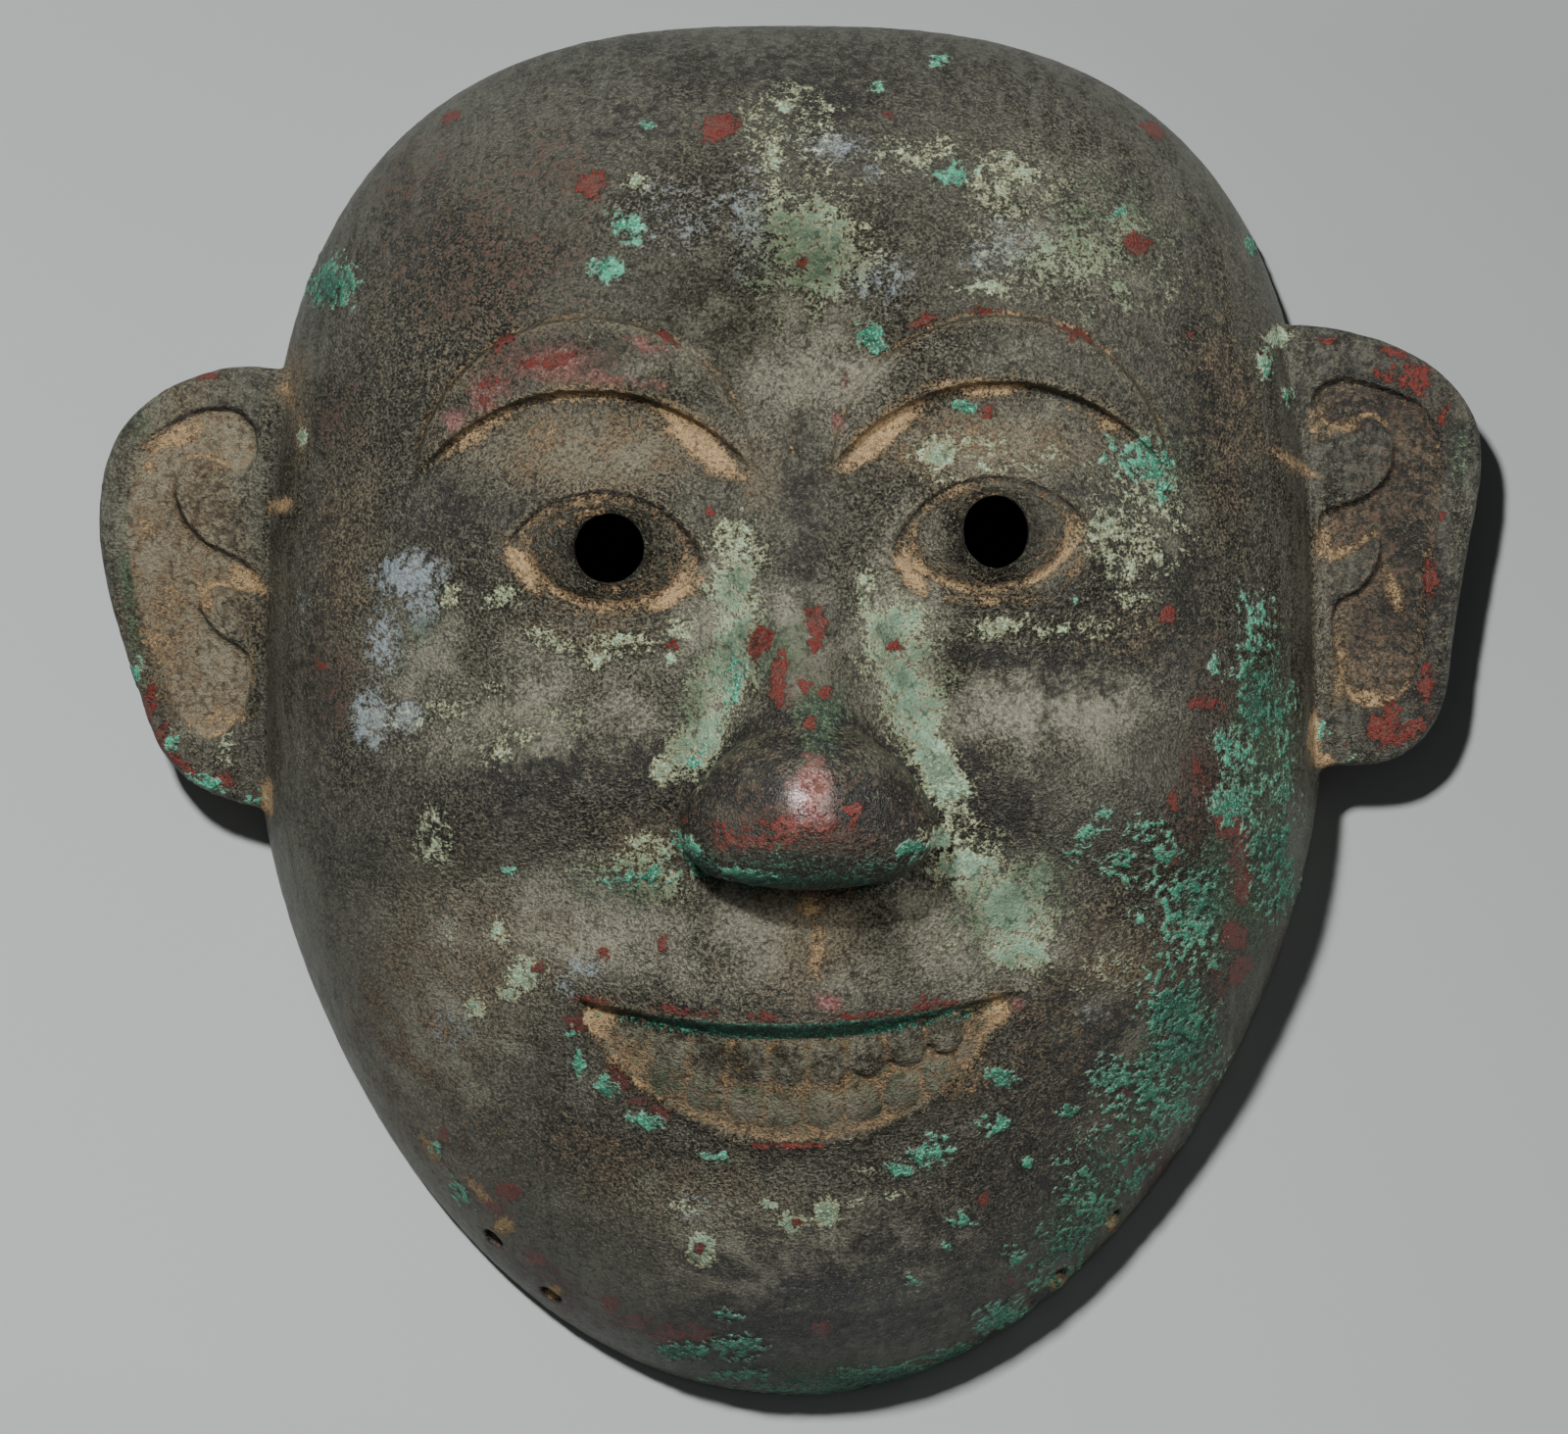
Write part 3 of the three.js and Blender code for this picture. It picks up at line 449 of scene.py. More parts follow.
        (1470, 528, 9, 12, 0.7), (1459, 590, 7, 18, 0.9), (1421, 728, 9, 14, 0.9), (1410, 748, 20, 16, 1.0),
        (1437, 748, 24, 10, 1.05, 35), (1373, 759, 12, 6, 0.7), (1456, 690, 8, 22, 0.7),
    ],
    # Dark green patina; under the nose it is partly painted shade
    "deep": [
        (1204, 1050, 50, 80, 0.4, -15), (1230, 900, 50, 60, 0.4), (1130, 1180, 44, 50, 0.38, -30),
        (1290, 710, 30, 70, 0.51), (1300, 860, 24, 70, 0.47), (1080, 1275, 36, 50, 0.42, -35),
        (1010, 1372, 60, 14, 0.6, 20), (900, 1408, 130, 12, 0.7, 2), (820, 900, 100, 8, 0.7),
        (715, 880, 24, 14, 0.7, -30), (1200, 1000, 30, 60, 0.34), (338, 292, 24, 24, 0.6),
    ],
    "green": [
        (622, 276, 19, 13, 1.15), (641, 231, 20, 13, 0.8, -35), (338, 287, 25, 27, 0.75),
        (660, 131, 7, 6, 0.8), (959, 62, 10, 6, 0.8), (972, 176, 20, 13, 0.9, 15), (896, 88, 6, 6, 0.7),
        (1138, 216, 9, 8, 0.7), (890, 343, 12, 16, 0.9, 20), (1175, 350, 7, 7, 0.7),
        (1277, 249, 6, 10, 0.9), (1294, 372, 7, 17, 0.8), (1162, 468, 34, 20, 0.75, -20),
        (1185, 500, 14, 18, 0.55), (985, 415, 12, 6, 0.8), (709, 772, 8, 16, 0.6, -20),
        (745, 700, 12, 34, 0.4, -15), (704, 864, 24, 8, 0.8, -35), (760, 893, 34, 7, 0.95, -12),
        (930, 870, 16, 10, 0.6, 30), (650, 897, 34, 9, 0.7), (680, 885, 20, 10, 0.6), (521, 888, 9, 6, 0.8),
        (1107, 613, 11, 8, 0.51), (1270, 618, 14, 19, 0.58), (1284, 655, 18, 30, 0.41),
        (1256, 681, 19, 19, 0.44), (1293, 720, 27, 54, 0.41), (1258, 768, 32, 22, 0.58),
        (1252, 815, 32, 27, 0.54), (1298, 830, 27, 68, 0.43), (1172, 846, 24, 14, 0.58, 10),
        (1120, 834, 19, 11, 0.58), (1104, 856, 14, 24, 0.58, -20), (1138, 882, 19, 14, 0.58),
        (1190, 905, 38, 16, 0.58), (1228, 900, 24, 16, 0.54), (1164, 933, 14, 15, 0.58),
        (1214, 960, 32, 40, 0.54), (1300, 890, 24, 51, 0.43), (1190, 865, 16, 24, 0.47),
        (1182, 1010, 20, 24, 0.54), (1205, 1036, 38, 27, 0.54), (1200, 1078, 46, 32, 0.44),
        (1147, 1106, 32, 30, 0.54), (1180, 1106, 40, 27, 0.54), (1132, 1130, 22, 19, 0.54),
        (1188, 1138, 38, 27, 0.5), (1092, 1135, 12, 7, 0.54, 10), (1155, 1162, 35, 22, 0.47),
        (1108, 1160, 27, 14, 0.5, 25), (1098, 1185, 19, 22, 0.5), (1146, 1198, 30, 19, 0.47),
        (1111, 1219, 30, 27, 0.54), (1047, 1188, 8, 8, 1.1), (1013, 1148, 18, 9, 0.85, 15),
        (1022, 1098, 16, 8, 0.85, -20), (1085, 1266, 24, 30, 0.4), (1035, 1283, 14, 12, 0.6),
        (1062, 1301, 19, 22, 0.43), (1023, 1344, 30, 14, 0.8, 20), (958, 1172, 26, 14, 0.75, 20),
        (918, 1194, 16, 7, 0.85, -10), (1004, 1146, 14, 11, 0.75), (580, 1055, 9, 6, 1.0),
        (591, 1086, 8, 16, 0.8, 20), (617, 1107, 13, 11, 0.75), (657, 1144, 21, 8, 1.0, -10),
        (726, 1179, 16, 6, 0.9, -10), (980, 1246, 14, 9, 0.75), (968, 1268, 10, 7, 0.5),
        (931, 1310, 11, 11, 0.6), (744, 1342, 12, 7, 0.7), (700, 1378, 34, 8, 0.85),
        (750, 1374, 32, 13, 0.75), (752, 1403, 35, 6, 0.7), (905, 1402, 60, 9, 0.75, 2),
        (835, 1415, 70, 7, 0.7), (985, 1380, 44, 10, 0.7, 12), (446, 1170, 7, 7, 0.8),
        (470, 1215, 8, 26, 0.6, 35), (138, 688, 6, 14, 0.8, -15), (176, 757, 9, 9, 0.7),
        (212, 799, 20, 7, 0.8, -28), (258, 815, 12, 6, 0.7), (1313, 404, 7, 7, 0.8),
        (1349, 748, 8, 11, 0.46), (1380, 770, 19, 8, 0.41), (1284, 620, 16, 19, 0.41),
    ],
    "gloss": [
        (745, 310, 60, 60, 0.8), (640, 370, 70, 26, 1.0, -20), (980, 345, 90, 16, 0.6, 10),
        (828, 812, 34, 34, 1.0), (720, 840, 26, 26, 0.5), (905, 820, 40, 30, 0.6), (820, 300, 80, 80, 0.5),
        (500, 740, 90, 40, 0.4), (900, 960, 90, 40, 0.5), (850, 1300, 120, 60, 0.4),
    ],
    "smooth": [
        (826, 812, 40, 40, 1.0), (735, 845, 40, 30, 0.5), (905, 830, 50, 40, 0.5),
    ],
    "coarse": [
        (790, 320, 110, 90, 1.0), (880, 960, 110, 40, 0.8), (900, 1290, 180, 90, 0.9),
        (800, 1100, 190, 50, 1.0), (1110, 1120, 80, 110, 0.6), (500, 730, 60, 30, 0.6),
        (950, 700, 40, 60, 0.7), (190, 580, 80, 180, 0.6), (620, 560, 55, 45, 0.7),
        (1010, 550, 55, 45, 0.7),
    ],
}


def ramp(value, low, high):
    """Smooth step from 0 at low to 1 at high."""
    t = np.clip((value - low) / (high - low), 0, 1)
    return t * t * (3 - 2 * t)


def edge_step(value, half):
    """Smooth step over a width of half on both sides of 0."""
    return ramp(value, -half, half)


def mix(a, b, share):
    return a + (b - a) * share


def signed_power(value, power):
    return np.sign(value) * np.abs(value) ** power


def hump(dx, dy, half_x, half_y):
    return np.exp(-((dx / half_x) ** 2) - (dy / half_y) ** 2)


def line(distance, half):
    """A soft line along the places where distance is zero."""
    return np.exp(-((distance / half) ** 2))


def smooth_union(a, b, radius):
    """The lesser of two fields, rounded where they meet."""
    share = np.clip(0.5 + 0.5 * (b - a) / radius, 0, 1)
    return mix(b, a, share) - radius * share * (1 - share)


def cut(field, tool, radius):
    """A field without what lies inside tool, its edges slightly rounded."""
    return -smooth_union(-field, tool, radius)


def blurred(values, step, size):
    """Values on a grid, blurred over a size in millimetres."""
    across = np.fft.fftfreq(values.shape[0], step)[:, None]
    along = np.fft.rfftfreq(values.shape[1], step)[None, :]
    blur = np.exp(-2 * (math.pi * size / 2) ** 2 * (across**2 + along**2))
    return np.fft.irfft2(np.fft.rfft2(values) * blur, s=values.shape)


def roughness(shape, step, size, seed):
    """Even random undulation of a given size in millimetres, about one unit high."""
    smooth = blurred(np.random.default_rng(seed).standard_normal(shape), step, size)
    return smooth / smooth.std()


def rim_radius(x, y, inset=0.0):
    """Distance from the shell's middle to its rim in the direction of x, y."""
    turn = np.linspace(-math.pi, math.pi, RIM_POINTS)
    upper = np.sin(turn) >= 0
    across = np.where(upper, CROWN["across"], JAW["across"])
    along = np.where(upper, CROWN["along"], JAW["along"])
    reach = np.where(upper, HALF_HEIGHT - WIDEST_Y, HALF_HEIGHT + WIDEST_Y) - inset
    rim_x = (HALF_WIDTH - inset) * signed_power(np.cos(turn), 2 / across)
    rim_y = reach * signed_power(np.sin(turn), 2 / along)
    rim_angle = np.arctan2(rim_y[:-1], rim_x[:-1])
    radius = np.hypot(rim_x[:-1], rim_y[:-1])
    return np.interp(np.arctan2(y - WIDEST_Y, x), rim_angle, radius, period=2 * math.pi)


def dome_shape(x, y, inset=0.0):
    """Share of the way out to the rim, and the exponent of the wall's rise there."""
    out = np.hypot(x, y - WIDEST_Y)
    share = out / rim_radius(x, y, inset)
    up = (y - WIDEST_Y) / np.maximum(out, 1e-6)
    power = RISE["side"] + (RISE["crown"] - RISE["side"]) * ramp(up, *TO_CROWN)
    power = power + (RISE["jaw"] - RISE["side"]) * ramp(-up, *TO_JAW)
    return share.astype(np.float32), power.astype(np.float32)


def arc_distance(x, y, half_span, sag):
    """Distance below the arc over a chord from -half_span to half_span; negative above it."""
    radius = (half_span**2 + sag**2) / (2 * abs(sag))
    middle = sag - radius if sag > 0 else sag + radius
    return (radius - np.hypot(x, y - middle)) * np.sign(sag)


def turned(x, y, centre, tilt):
    """x, y as seen from a centre, on axes turned by tilt."""
    dx, dy = x - centre[0], y - centre[1]
    return dx * math.cos(tilt) + dy * math.sin(tilt), dy * math.cos(tilt) - dx * math.sin(tilt)


def soft_rise(x, y, sizes):
    """The nose's ridge, the cheeks and the soft forms of the face over the dome."""
    down = np.clip((RIDGE["top"] - y) / (RIDGE["top"] - RIDGE["foot"]), 0, 1)
    half = mix(RIDGE["narrow"], RIDGE["wide"], down)
    foot = ramp(y, RIDGE["foot"], RIDGE["foot"] + RIDGE["foot_fade"])
    flank = np.exp(-(np.abs(x - RIDGE["x"]) / half) ** RIDGE["edge"])
    rise = sizes["nose_rise"] * down ** RIDGE["power"] * foot * flank
    for cx, cy, half_x, half_y, height in SOFT_FORMS:
        rise += height * hump(np.abs(x) - cx, y - cy, half_x, half_y)
    for cy, half_x, half_y, height in MIDDLE_FORMS:
        rise += height * hump(x, y - cy, half_x, half_y)
    u = np.abs(x - CHEEK["middle"]) - CHEEK["x"]
    v = y - CHEEK["y"] + CHEEK["slant"] * u
    mound = np.clip(1 - (u / CHEEK["half_x"]) ** 2 - (v / CHEEK["half_y"]) ** 2, 0, 1)
    edge = mix(CHEEK["edge"], 2 * CHEEK["edge"], ramp(v, *CHEEK["softens"]))
    return rise + sizes["cheek_rise"] * mound**edge


def brow_rise(x, y, brow, sizes):
    """A crescent brow: proud along its lower edge, shallow along its upper edge."""
    u, v = turned(x, y, brow["at"], 0)
    below_top = arc_distance(u, v, BROW["half_span"], brow["upper_sag"])
    above_foot = -arc_distance(u, v, BROW["half_span"], brow["lower_sag"])
    thickness = np.maximum(below_top + above_foot, 1e-3)
    taper = ramp(thickness, 0, BROW["full_at"])
    lean = np.clip(below_top / thickness, 0, 1)
    height = mix(BROW["upper_rise"], sizes["brow_rise"], lean) * taper
    rise = height * edge_step(below_top, BROW["crest_edge"]) * edge_step(above_foot, BROW["foot_edge"])
    inward = -np.sign(brow["at"][0]) * u
    contour = line(below_top + BROW_CONTOUR["out"], BROW_CONTOUR["half"])
    contour = contour * ramp(inward, *BROW_CONTOUR["across"]) * ramp(v, *BROW_CONTOUR["up"])
    crease = line(below_top + BROW_CREASE["out"], BROW_CREASE["half"]) * ramp(v, *BROW_CREASE["up"])
    below = np.minimum(above_foot + BROW_SOCKET["out"], 0)
    socket = line(below, BROW_SOCKET["half"]) * (above_foot < 0) * ramp(v, *BROW_SOCKET["up"])
    return rise - BROW_CONTOUR["depth"] * (contour + crease) - BROW_SOCKET["depth"] * socket * taper


def eye_edges(x, y, centre):
    """Distances in from an almond eye's upper and lower edges, and its own axes."""
    side = math.copysign(1, centre[0])
    u, v = turned(x, y, centre, side * EYE["tilt"])
    below_top = arc_distance(u, v, EYE["half_span"], EYE["sag"])
    above_foot = -arc_distance(u, v, EYE["half_span"], -EYE["sag"])
    return side * u, v, below_top, above_foot


def eye_rise(x, y, centre, sizes):
    """An almond eye: a sharp upper lid over a shallow recess, with a domed eyeball in it."""
    u, v, below_top, above_foot = eye_edges(x, y, centre)
    inside = np.minimum(below_top, above_foot)
    radial = np.sqrt((u / EYEBALL["half_x"]) ** 2 + (v / EYEBALL["half_y"]) ** 2)
    ball = EYEBALL["rise"] * np.sqrt(np.clip(1 - radial**2, 0, 1))
    bed = ramp(below_top, *EYE["top_edge"]) * ramp(above_foot, *EYE["foot_edge"])
    recess = (ball - sizes["eye_recess"]) * bed
    lid = EYE_LID["rise"] * line(inside + EYE_LID["out"], EYE_LID["half"])
    lid = lid * mix(EYE_LID["lower_share"], 1, ramp(v, *EYE_LID["up"]))
    past = u - EYE["half_span"]
    fold = line(v - EYE_FOLD["slope"] * past + EYE_FOLD["drop"], EYE_FOLD["half"])
    fold = fold * ramp(past, *EYE_FOLD["starts"]) * (1 - ramp(past, *EYE_FOLD["ends"]))
    return recess + lid - EYE_FOLD["depth"] * fold


def mouth_edges(x, y):
    """Distances in from the mouth's upper and lower edges, and x from its middle."""
    u, v = turned(x, y, (MOUTH["x"], MOUTH["y"]), MOUTH["tilt"])
    below_top = arc_distance(u, v, MOUTH["half_span"], -MOUTH["upper_sag"])
    above_foot = -arc_distance(u, v, MOUTH["half_span"], -MOUTH["lower_sag"])
    return u, below_top, above_foot


def mouth_rise(x, y, sizes):
    """A half-moon mouth, deepest under the sloping underside of the upper lip."""
    u, below_top, above_foot = mouth_edges(x, y)
    share = np.clip(above_foot / np.maximum(below_top + above_foot, 1e-3), 0, 1)
    depth = mix(MOUTH_DEPTH["shallow"], sizes["mouth_depth"], share)
    slope_half = MOUTH["half_span"] * MOUTH_DEPTH["slope_share"]
    slope = mix(MOUTH_DEPTH["steep"], MOUTH_DEPTH["sloping"], line(u, slope_half))
    bed = ramp(below_top, MOUTH_DEPTH["top"], slope) * ramp(above_foot, *MOUTH_DEPTH["foot_edge"])
    recess = -depth * bed
    lip = line(np.minimum(below_top, 0) + UPPER_LIP["out"], UPPER_LIP["half"]) * (above_foot > 0)
    lip = lip * (below_top < UPPER_LIP["ends_at"]) * line(u, MOUTH["half_span"] * UPPER_LIP["span_share"])
    rim = line(above_foot + LOWER_LIP["out"], LOWER_LIP["half"]) * (below_top > 0)
    return recess + UPPER_LIP["rise"] * lip + LOWER_LIP["rise"] * rim


def fine_rise(x, y, step):
    """Philtrum, wrinkles between the brows and the casting's slow undulation."""
    middle = (PHILTRUM["top"] + PHILTRUM["foot"]) / 2
    reach = (PHILTRUM["top"] - PHILTRUM["foot"]) / 2
    ends = ramp(np.abs(y - middle) - reach, *PHILTRUM["ends"])
    rise = -PHILTRUM["depth"] * line(x - PHILTRUM["x"], PHILTRUM["half_x"]) * (1 - ends)
    row = ACROSS_WRINKLES
    bend = row["bend"] * (x - CHEEK["middle"]) ** 2
    for crease_y in row["y"]:
        rise -= row["depth"] * line(y - crease_y + bend, row["half"]) * line(x - row["x"], row["reach"])
    row = UPRIGHT_WRINKLES
    for crease_x in row["x"]:
        lean = row["lean"] * (y - row["upright_y"]) * (crease_x - row["upright_x"])
        rise -= row["depth"] * line(x - crease_x - lean, row["half"]) * line(y - row["y"], row["reach"])
    return rise + sum(height * roughness(x.shape, step, size, seed) for size, height, seed in UNDULATION)


def sunk_rise(x, y, sizes):
    """The features cut into or laid on the soft forms: brows, eyes and mouth."""
    rise = mouth_rise(x, y, sizes)
    for brow in BROWS:
        rise = rise + brow_rise(x, y, brow, sizes)
    for centre in EYES:
        rise = rise + eye_rise(x, y, centre, sizes)
    return rise


def hollow_rise(x, y, sizes):
    """The back of the face follows its front softly, and keeps its wall behind the mouth."""
    middle = MOUTH["y"] - MOUTH["lower_sag"] / 2
    half_x, half_y = MOUTH["half_span"] * BEHIND_MOUTH[0], MOUTH["lower_sag"] * BEHIND_MOUTH[1]
    behind = hump(x - MOUTH["x"], y - middle, half_x, half_y)
    return soft_rise(x, y, sizes) - sizes["mouth_depth"] * behind


def dome_field(x, y, z, rise, inset=0.0):
    """Field of the dome with a rise on it: below zero inside."""
    share, power = dome_shape(x, y, inset)
    fade = 1 - ramp(share, *FADE)
    level = (z - (rise * fade).astype(np.float32)) / np.float32(DEPTH - inset)
    return FIELD_SCALE * (signed_power(level, power) + share ** RISE["plan"] - 1)


def dome_height(x, y, rise):
    """Height of the dome's front with a rise on it."""
    share, power = dome_shape(x, y)
    fade = 1 - ramp(share, *FADE)
    return rise * fade + DEPTH * np.clip(1 - share ** RISE["plan"], 0, 1) ** (1 / power)


def bulb_field(x, y, z, inset=0.0):
    """Field of the nose's bulb: a full ball, narrower at its tip and towards the ridge."""
    dy = y - BULB["y"]
    v = dy / (mix(BULB["down"], BULB["up"], edge_step(dy, BULB["widest"])) - inset)
    w = (z - BULB["z"]) / (BULB["half_z"] - inset)
    taper = 1 - BULB_TAPER["tip"] * np.clip(w, 0, 1) ** 2
    neck = 1 - BULB_TAPER["ridge"] * np.clip(v, 0, 1)
    u = (x - BULB["x"]) / ((BULB["half_x"] - inset) * taper * neck)
    square = BULB["square"]
    plan = (np.abs(u) ** square + np.abs(v) ** square) ** (2 / square)
    return (np.sqrt(plan + w**2) - 1) * (BULB["down"] - inset)


def smooth_loop(points, steps=10):
    """A closed Catmull-Rom curve through points."""
    knots = np.array(points, float)
    before, after, beyond = np.roll(knots, 1, 0), np.roll(knots, -1, 0), np.roll(knots, -2, 0)
    t = (np.arange(steps) / steps)[None, :, None]
    p0, p1, p2, p3 = (k[:, None, :] for k in (before, knots, after, beyond))
    curve = p1 + 0.5 * t * (p2 - p0 + t * (2 * p0 - 5 * p1 + 4 * p2 - p3 + t * (3 * (p1 - p2) + p3 - p0)))
    return curve.reshape(-1, 2)


def loop_distance(x, y, loop):
    """Signed distance to a closed loop of points: below zero inside."""
    nearest = np.full(x.shape, np.inf)
    inside = np.zeros(x.shape, bool)
    for (ax, ay), (bx, by) in zip(loop, np.roll(loop, -1, 0)):
        ex, ey = bx - ax, by - ay
        px, py = x - ax, y - ay
        along = np.clip((px * ex + py * ey) / (ex * ex + ey * ey), 0, 1)
        nearest = np.minimum(nearest, np.hypot(px - along * ex, py - along * ey))
        if ey != 0:
            inside ^= ((ay > y) != (by > y)) & (x < ex * (y - ay) / ey + ax)
    return np.where(inside, -nearest, nearest)


def ear_field(x, y, z, ear, sizes):
    """Field of one ear: a plate with rounded edges and a scroll sunk into its front."""
    side = np.sign(x.mean())
    outline = loop_distance(x, y, smooth_loop(ear["outline"]))
    scroll = loop_distance(x, y, smooth_loop(ear["recess"]))
    wall = mix(EAR["steep"], EAR["gentle"], ramp(side * x, *EAR["helix"]))
    sunk = sizes["ear_recess"] * ramp(-scroll, -wall * 0.5, wall)
    roll = EAR["roll"] * ramp(-outline, *EAR["rolls"])
    front = EAR["front"] - EAR["roll"] + roll - sunk
    r = EAR["edge"]
    plan = outline + r
    depth = np.maximum(z - front, EAR["back"] - z) + r
    outside = np.hypot(np.maximum(plan, 0), np.maximum(depth, 0))
    return np.minimum(np.maximum(plan, depth), 0) + outside - r


def tie_hole_field(x, y, z, centre):
    """Field of a small bore that slants out through the jaw's wall."""
    out = np.array([centre[0], centre[1] - WIDEST_Y, 0.0])
    axis = out / np.linalg.norm(out) + np.array([0, 0, TIE_HOLE["slope"]])
    axis /= np.linalg.norm(axis)
    rel = [x - centre[0], y - centre[1], z - TIE_HOLE["z"]]
    along = sum(r * a for r, a in zip(rel, axis))
    across = [r - along * a for r, a in zip(rel, axis)]
    return np.sqrt(sum(a * a for a in across)) - TIE_HOLE["r"]


def pupil_field(x, y, z, pupil):
    """Field of a round bore down through an eyeball."""
    half_x, half_y = pupil["half"]
    return np.hypot((x - pupil["at"][0]) / half_x, (y - pupil["at"][1]) / half_y) * half_x - half_x + 0 * z


def nostril_field(x, y, z, centre_x):
    """Field of a flat bore up into the nose from below."""
    tilt = NOSTRILS["tilt"]
    along = (y - NOSTRILS["y"]) * math.cos(tilt) + (z - NOSTRILS["z"]) * math.sin(tilt)
    over = (z - NOSTRILS["z"]) * math.cos(tilt) - (y - NOSTRILS["y"]) * math.sin(tilt)
    radial = np.sqrt(((x - centre_x) / NOSTRILS["half_x"]) ** 2 + (over / NOSTRILS["half_z"]) ** 2) - 1
    return np.maximum(radial * NOSTRILS["half_z"], np.abs(along) - NOSTRILS["length"])


def bulb_blend(y):
    """The radius between the bulb and the face at a height on the face."""
    return mix(BULB_BLEND["sharp"], BULB_BLEND["flowing"], ramp(y, *BULB_BLEND["between"]))


class Relief:
    """The face's height over the dome on a grid, which can be read between its points."""

    def __init__(self, sizes, step):
        low = np.array(MASK_LOW[:2]) / MM - FIELD_MARGIN
        high = np.array(MASK_HIGH[:2]) / MM + FIELD_MARGIN
        self.step = step
        self.axes = [np.arange(lo, hi, step) for lo, hi in zip(low, high)]
        self.x, self.y = np.meshgrid(*self.axes, indexing="ij")
        self.sunk = sunk_rise(self.x, self.y, sizes)
        self.rise = soft_rise(self.x, self.y, sizes) + fine_rise(self.x, self.y, step) + self.sunk
        self.hollow = hollow_rise(self.x, self.y, sizes)

    def read(self, values, x, y):
        """Grid values at places x, y, mixed between the four points around each."""
        cells = []
        for axis, place in zip(self.axes, (x, y)):
            spot = np.clip((place - axis[0]) / self.step, 0, len(axis) - 1.001)
            whole = spot.astype(int)
            cells.append((whole, spot - whole))
        (i, s), (j, t) = cells
        lower = mix(values[i, j], values[i + 1, j], s)
        upper = mix(values[i, j + 1], values[i + 1, j + 1], s)
        return mix(lower, upper, t)


class Block:
    """A box of the field's grid, with its places and a window on the field."""

    def __init__(self, axes, field, low, high):
        spans = [slice(*np.searchsorted(axis, ends)) for axis, *ends in zip(axes, low, high)]
        x, y = np.meshgrid(axes[0][spans[0]], axes[1][spans[1]], indexing="ij")
        self.x, self.y = x[:, :, None], y[:, :, None]
        self.z = axes[2][spans[2]][None, None, :]
        self.field = field[tuple(spans)]

    @classmethod
    def around(cls, axes, field, centre, box):
        """The box round a centre on the face."""
        low = [c - half for c, half in zip(centre, box["half"])]
        high = [c + half for c, half in zip(centre, box["half"])]
        return cls(axes, field, (*low, box["z"][0]), (*high, box["z"][1]))

    @property
    def places(self):
        return self.x, self.y, self.z

    def join(self, tool, radius):
        self.field[:] = smooth_union(self.field, tool, radius)

    def cut(self, tool, radius):
        self.field[:] = cut(self.field, tool, radius)


def places_of(mesh):
    """The mesh's points in millimetres, as three rows x, y and z."""
    points = np.empty(3 * len(mesh.vertices), np.float32)
    mesh.vertices.foreach_get("co", points)
    return points.reshape(-1, 3).T / MM


def corners_of(mesh):
    """The corners of the mesh's triangles, three in a row."""
    mesh.calc_loop_triangles()
    corners = np.empty(3 * len(mesh.loop_triangles), np.int32)
    mesh.loop_triangles.foreach_get("vertices", corners)
    return corners.reshape(-1, 3)


def teeth_field(shape, low, step):
    """Field of the rows of teeth on the casting's grid, from their mesh."""
    teeth = bpy.data.objects["teeth"]
    spots = (places_of(teeth.data).T - low) / step
    grid = openvdb.FloatGrid.createLevelSetFromPolygons(spots, triangles=corners_of(teeth.data))
    field = np.zeros(shape, np.float32)
    grid.copyToArray(field)
    bpy.data.objects.remove(teeth)
    return field * step


def casting_field(relief, sizes):
    """The whole casting as a field on a grid, and the grid's lowest corner."""
    step = relief.step
    low_z = MASK_LOW[2] / MM - FIELD_MARGIN
    axes = [*relief.axes, np.arange(low_z, MASK_HIGH[2] / MM + FIELD_MARGIN, step)]
    low = np.array([axis[0] for axis in axes])
    x, y = relief.x[:, :, None], relief.y[:, :, None]
    z = axes[2][None, None, :].astype(np.float32)
    field = dome_field(x, y, z, relief.rise[:, :, None])
    hollow = dome_field(x, y, z, relief.hollow[:, :, None], sizes["wall"])

    block = Block(axes, field, *NOSE_BOX)
    block.join(bulb_field(*block.places), bulb_blend(block.y))
    block = Block(axes, hollow, *NOSE_BOX)
    block.join(bulb_field(*block.places, sizes["wall"]), RADII["nose_hollow"])
    for ear, box in zip(EARS, EAR_BOXES):
        block = Block(axes, field, *box)
        block.join(ear_field(*block.places, ear, sizes), RADII["ear"])
    field = smooth_union(field, teeth_field(field.shape, low, step), RADII["teeth"])
    field = cut(field, hollow, RADII["hollow"])

    for pupil in PUPILS:
        block = Block.around(axes, field, pupil["at"], PUPIL_BOX)
        block.cut(pupil_field(*block.places, pupil), RADII["bore"])
    for nostril_x in NOSTRILS["x"]:
        block = Block.around(axes, field, (nostril_x, NOSTRILS["y"]), NOSTRIL_BOX)
        block.cut(nostril_field(*block.places, nostril_x), RADII["bore"])
    for centre in TIE_HOLES:
        block = Block.around(axes, field, centre, TIE_HOLE_BOX)
        block.cut(tie_hole_field(*block.places, centre), RADII["tie_hole"])
    return cut(field, z + 0 * field, RADII["rim"]), low


def mesh_of(name, points, faces):
    """A mesh from points in millimetres and faces of one number of corners."""
    corners = faces.shape[1]
    mesh = bpy.data.meshes.new(name)
    mesh.vertices.add(len(points))
    mesh.vertices.foreach_set("co", (points * MM).astype(np.float32).ravel())
    mesh.loops.add(faces.size)
    mesh.loops.foreach_set("vertex_index", faces.astype(np.int32).ravel())
    mesh.polygons.add(len(faces))
    mesh.polygons.foreach_set("loop_start", np.arange(0, faces.size, corners, dtype=np.int32))
    mesh.update(calc_edges=True)
    mesh.validate()
    return mesh


